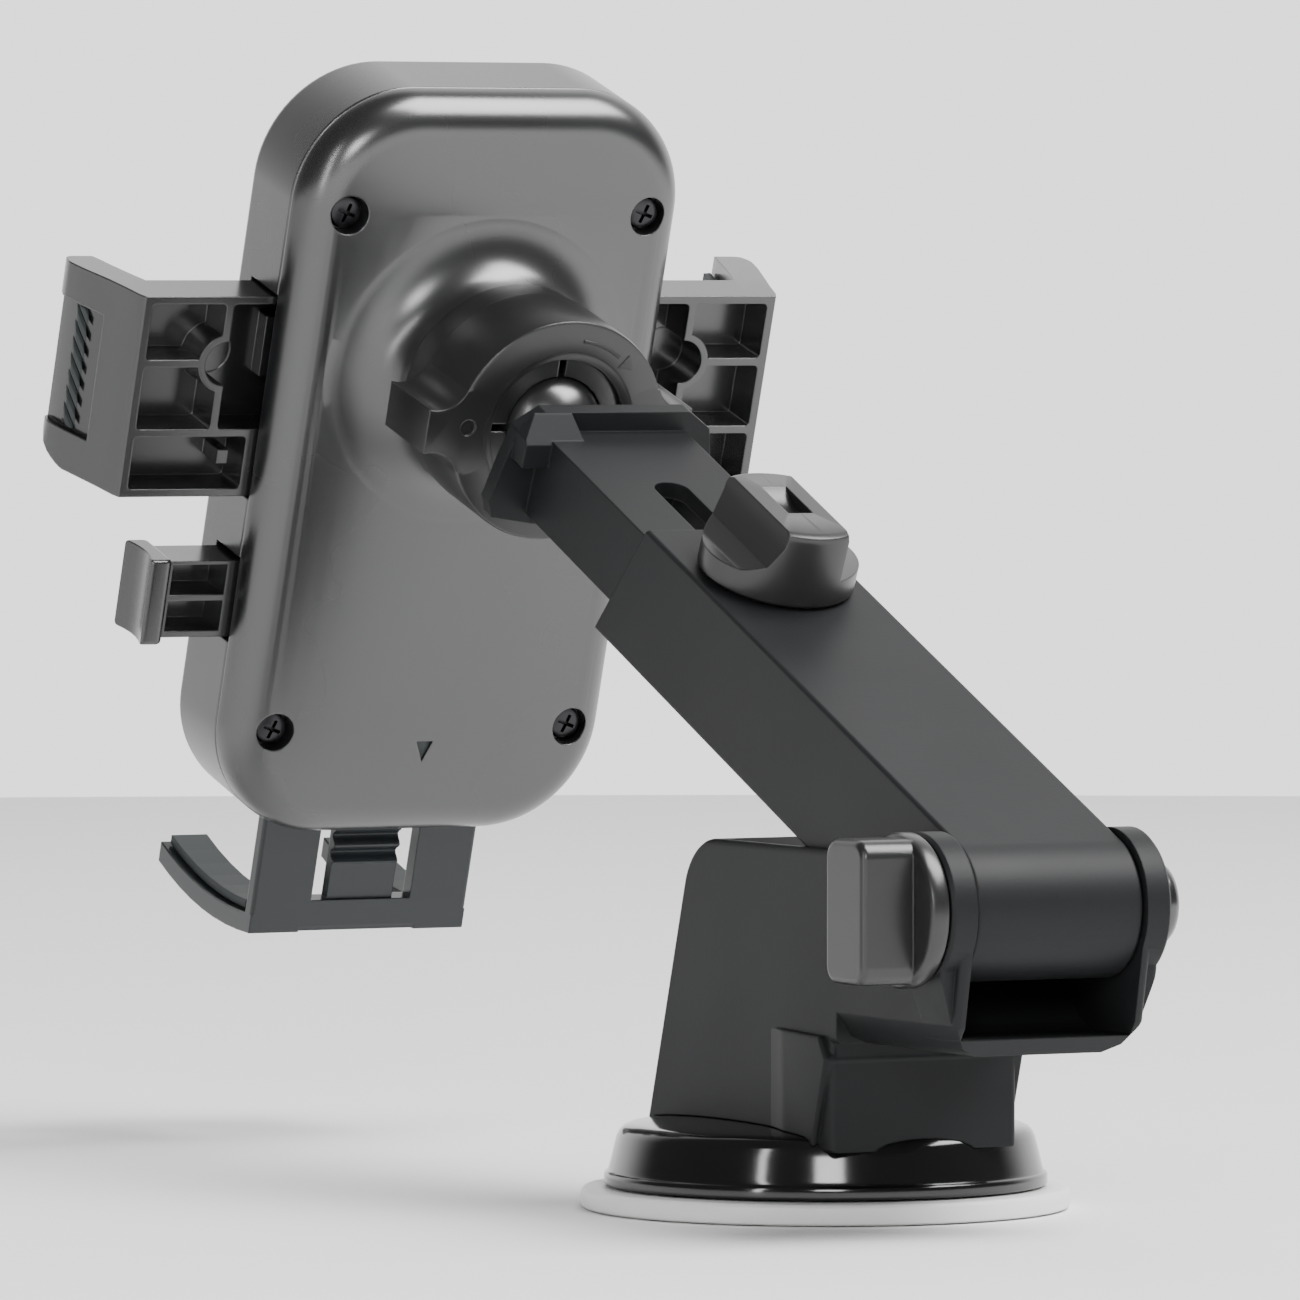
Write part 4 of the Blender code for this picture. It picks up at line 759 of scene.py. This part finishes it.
def made_claw(side, word):
    """Claw on the +x side for side 1, on the -x side for side -1."""
    def there(x_pair, y_pair, z_pair):
        xs, ys, zs = sorted(side * x for x in x_pair), sorted(y_pair), sorted(z_pair)
        return oblong((xs[0], ys[0], zs[0]), (xs[1], ys[1], zs[1]))

    def plan(points, low, high):
        return slab([(side * x, y) for x, y in points], low, high)

    outer = [(53.4, -30.1), (54.0, -31.4), (54.9, -35.2), (56.1, -39.5), (57.4, -44.0),
             (58.1, -47.2), (58.2, -48.6), (57.7, -50.2), (56.6, -51.0)]
    inner = [(53.3, -51.1), (52.7, -48.9), (52.2, -46.4), (51.4, -43.0), (50.5, -39.6),
             (49.6, -36.6), (49.3, -31.2)]
    jaw = plan(outer + inner, claw_low, claw_top)
    trim = drawn([(-28, claw_low - 0.2), (-52.5, claw_low - 0.2), (-52.5, claw_top - 0.4),
                  (-28, claw_top + 0.3)])
    rounded_corners(trim, 11.5, [(-52.5, claw_low - 0.2)], 14)
    rounded_corners(trim, 2.0, [(-52.5, claw_top - 0.4)], 6)
    turned(pulled(trim, *sorted((side * 40, side * 62))), FACE_SIDE)
    jaw = combined(jaw, [trim], "INTERSECT")
    recess = plan([(54.6, -38.6), (55.4, -41.0), (56.4, -44.6), (56.9, -47.6), (57.0, -53.0),
                   (64, -53.0), (64, -38.6)], -16.2, 3.6)
    back_plate = there((28.0, 53.4), (claw_front, claw_back), (claw_low, claw_top))
    claw = carved(fused(back_plate, jaw), recess)
    pockets = []
    for x_pair, z_pair in (((wall_x + 1.2, 52.1), (ring_z + 0.6, 8.2)),
                           ((wall_x + 1.2, 52.1), (-11.6, ring_z - 0.6)),
                           ((33.5, 52.1), (-21.1, -12.8)),
                           ((20.0, wall_x), (-11.6, 8.2))):
        xs = sorted(side * x for x in x_pair)
        pocket = drawn([(xs[0], z_pair[0]), (xs[1], z_pair[0]), (xs[1], z_pair[1]),
                        (xs[0], z_pair[1])])
        rounded_corners(pocket, 0.7, segments=4)
        pockets.append(turned(pulled(pocket, -36.6, -25.0), FACE_BACK))
    claw = carved(claw, *pockets)
    notch = rod(4.6, -36.8, claw_back, (side * wall_x, ring_z), 64)
    keep = slab([(side * (wall_x + 0.2), ring_z - 6), (side * (wall_x + 6), ring_z - 6),
                 (side * (wall_x + 6), ring_z + 6), (side * (wall_x + 0.2), ring_z + 6)],
                -38, -29)
    notch = turned(combined(notch, [keep], "INTERSECT"), FACE_BACK)
    bore = turned(rod(3.5, -36.7, -25.0, (side * wall_x, ring_z), 64), FACE_BACK)
    rack_low, rack_high = ((0.9, 4.9) if side > 0 else (-17.9, -13.9))
    rack = there((-8.0, 29.5), (-41.9, -39.1), (rack_low, rack_high))
    neck = there((26.5, 31.0), (-41.9, -34.0),
                 (-4.5, 4.9) if side > 0 else (-17.9, -8.5))
    teeth = []
    pitch, mesh_z = math.pi, (0.95 if side > 0 else -13.95)
    for index in range(-2, 8):
        x = side * (index + 0.5) * pitch
        if -7.0 < side * x < 24.0:
            tip = mesh_z - side * 1.75
            tooth = slab([(x - 0.85, mesh_z), (x + 0.85, mesh_z), (x + 0.4, tip),
                          (x - 0.4, tip)], -41.9, -39.1)
            teeth.append(turned(tooth, FACE_BACK))
    tab = there((35.4, 37.2), (-37.0, -31.6), (-17.6, -15.4))
    claw = fused(carved(fused(claw, notch), bore), rack, neck, tab, *teeth)
    node = "claw_" + word
    finished("jaw_" + word, claw, head_frame, clip_abs, node, [node], edge=0.28, smooth=34)

    ridges = bmesh.new()
    slope = Matrix.Rotation(math.radians(side * -13.0), 4, "Z")
    centre = Matrix.Translation((side * 56.6, -45.3, -6.3))
    for step in range(-9, 10):
        bar = there((-0.9, 0.3), (-16, 16), (-0.42, 0.42))
        turned(bar, centre @ slope @ Matrix.Rotation(math.radians(-48), 4, "X")
               @ Matrix.Translation((0, 0, step * 1.75)))
        scrap = bpy.data.meshes.new("scrap")
        bar.to_mesh(scrap)
        bar.free()
        ridges.from_mesh(scrap)
    field = plan([(55.2, -39.2), (55.9, -41.0), (56.9, -44.6), (57.35, -47.6), (57.4, -50.8),
                  (55.8, -50.8), (54.6, -44.0), (53.6, -39.2)], -15.8, 3.2)
    ridges = combined(ridges, [field], "INTERSECT")
    finished("ridges_" + word, ridges, head_frame, rubber, node)


made_claw(1, "left")
made_claw(-1, "right")

# %% [markdown]
# ## Release buttons
#
# Each button is a stem with two pockets behind and a dished paddle for the fingertip. The dish is
# a large bar taken out of the paddle's outer face.

# %% Release buttons
def across(side, low, high):
    """Box given for the +x side, or its mirror image for side -1."""
    xs = sorted((side * low[0], side * high[0]))
    return oblong((xs[0], low[1], low[2]), (xs[1], high[1], high[2]))


for side, word in ((1, "left"), (-1, "right")):
    stem = across(side, (25.5, -37.4, -44.9), (45.4, -30.2, -32.7))
    paddle = drawn([(side * x, y) for x, y in ((43.4, -28.6), (47.5, -28.6), (47.5, -38.7),
                                               (43.4, -38.7))])
    rounded_corners(paddle, 1.1, segments=5)
    pulled(paddle, -45.6, -32.0)
    rounded_rims(paddle, 0.6, segments=3, sharper=60)
    dish = rod(12.0, -60, -20, (side * 58.1, -33.6), 96)
    pockets = [across(side, (33.5, -36.2, low), (42.6, -25.0, low + 4.8))
               for low in (-43.9, -38.1)]
    seat = rod(2.95, 20.0, 29.2, segments=32)
    turned(seat, Matrix.Translation((0, -33.8, -38.8)) @ ALONG_X @ Matrix.Diagonal((1, 1, side, 1)))
    button = carved(fused(stem, paddle), dish, seat, *pockets)
    node = "button_" + word
    finished("press_" + word, button, head_frame, clip_abs, node, [node], edge=0.3)

# %% [markdown]
# ## The engineering pieces that stay
#
# The hidden springs, screws and washers, the lever and the foot keep their engineering shape. A
# piece's colour slot in the record says what it is made of, so the slot chooses the finish, and
# two pieces are named because their mould differs from the rest.

# %% Finishes for the pieces that stay
finish_of_slot = {"rubber": rubber, "zinc_steel": zinc, "white_gel": gel}
finish_of_node = {"lock_lever": grained_abs, "foot": foot_abs}
for node, piece in frame["nodes"].items():
    finish = finish_of_node.get(node) or finish_of_slot.get(slot_of_node[node], satin_abs)
    for slot in piece.material_slots:
        slot.material = finish
print("finishes given to", len(frame["nodes"]), "engineering nodes")

# %% [markdown]
# ## Stage, lamps and camera
#
# Glossy black plastic shows its surroundings more than its colour. A pale round floor and a pale
# backdrop keep the outline clean and give the cover something light to mirror.

# %% Floor
white, _, white_shader = new_finish("pale_studio_paper")
white_shader.inputs["Base Color"].default_value = linear("fafafa")
white_shader.inputs["Roughness"].default_value = 0.9
floor_mesh = bmesh.new()
bmesh.ops.create_circle(floor_mesh, cap_ends=True, segments=128, radius=1.3)
floor_data = bpy.data.meshes.new("floor")
floor_mesh.to_mesh(floor_data)
floor_mesh.free()
floor = bpy.data.objects.new("floor", floor_data)
bpy.context.scene.collection.objects.link(floor)
floor.location.z = -0.0002
floor_data.materials.append(white)


# %% [markdown]
# The room is dim, so black plastic stays black. A bright sheet of paper hangs behind the mount,
# and the floor seems to go on below the horizon. One picture of the surroundings gives all three:
# the direction of view is compared with the direction of the sheet, and with the horizon.

# %% Room, sheet and distant floor
room_light, sheet_light, ground_light = 0.15, 1.9, 1.5
sheet_direction = (-0.465, -0.885, 0.0)
world = bpy.data.worlds.new("studio")
bpy.context.scene.world = world
world.use_nodes = True
sky = world.node_tree
sky_place = add(sky, "ShaderNodeTexCoord")
behind = add(sky, "ShaderNodeVectorMath", {"operation": "DOT_PRODUCT"},
             {0: sky_place.outputs["Generated"]})
behind.inputs[1].default_value = sheet_direction
sheet = add(sky, "ShaderNodeMapRange", {"interpolation_type": "SMOOTHSTEP", "From Min": 0.30,
                                        "From Max": 0.80, "To Min": room_light,
                                        "To Max": sheet_light},
            {"Value": behind.outputs["Value"]})
height = add(sky, "ShaderNodeSeparateXYZ", None, {"Vector": sky_place.outputs["Generated"]})
ground = add(sky, "ShaderNodeMapRange", {"From Min": 0.0, "From Max": -0.02, "To Min": 0.0,
                                         "To Max": ground_light}, {"Value": height.outputs["Z"]})
brighter = add(sky, "ShaderNodeMath", {"operation": "MAXIMUM"},
               {0: sheet.outputs["Result"], 1: ground.outputs["Result"]})
backdrop = sky.nodes["Background"]
backdrop.inputs["Color"].default_value = linear("ffffff")
sky.links.new(brighter.outputs["Value"], backdrop.inputs["Strength"])

# %% [markdown]
# Three soft boxes do the rest. The high one draws the bright bands along the rounded upper edges,
# a thin strip at the left lines the vertical rims, and a small one beside the camera fills the pad
# and puts a spot on the ball.

# %% Soft boxes
def soft_box(name, at, aim, size, power):
    """Rectangular lamp at a place, turned to face a point; lengths in metres."""
    lamp = bpy.data.lights.new(name, "AREA")
    lamp.shape = "RECTANGLE"
    lamp.size, lamp.size_y = size
    lamp.energy = power
    made = bpy.data.objects.new(name, lamp)
    made.location = at
    made.rotation_mode = "QUATERNION"
    made.rotation_quaternion = (Vector(aim) - Vector(at)).to_track_quat("-Z", "Y")
    bpy.context.scene.collection.objects.link(made)
    return made


middle = (cad_low + cad_high) / 2
soft_box("overhead", (-0.95, 0.75, 1.9), middle, (1.4, 1.4), 95.0)
soft_box("left_strip", (0.85, 0.42, 0.22), middle, (0.06, 0.8), 2.6)
soft_box("camera_side", (0.60, 1.20, 0.50), middle, (0.35, 0.35), 7.0)

# %% [markdown]
# The camera stands low and far behind the mount, with a long lens, so the perspective is slight.

# %% Camera
camera_data = bpy.data.cameras.new("portrait")
camera_data.sensor_width = 36.0
camera_data.lens = 312.98
camera = bpy.data.objects.new("portrait", camera_data)
camera.location = (0.7722, 1.41496, 0.13196)
camera.rotation_mode = "QUATERNION"
camera.rotation_quaternion = Vector((-0.46507, -0.88467, -0.03253)).to_track_quat("-Z", "Y")
camera_data.clip_start, camera_data.clip_end = 0.05, 30.0
bpy.context.scene.collection.objects.link(camera)
bpy.context.scene.camera = camera
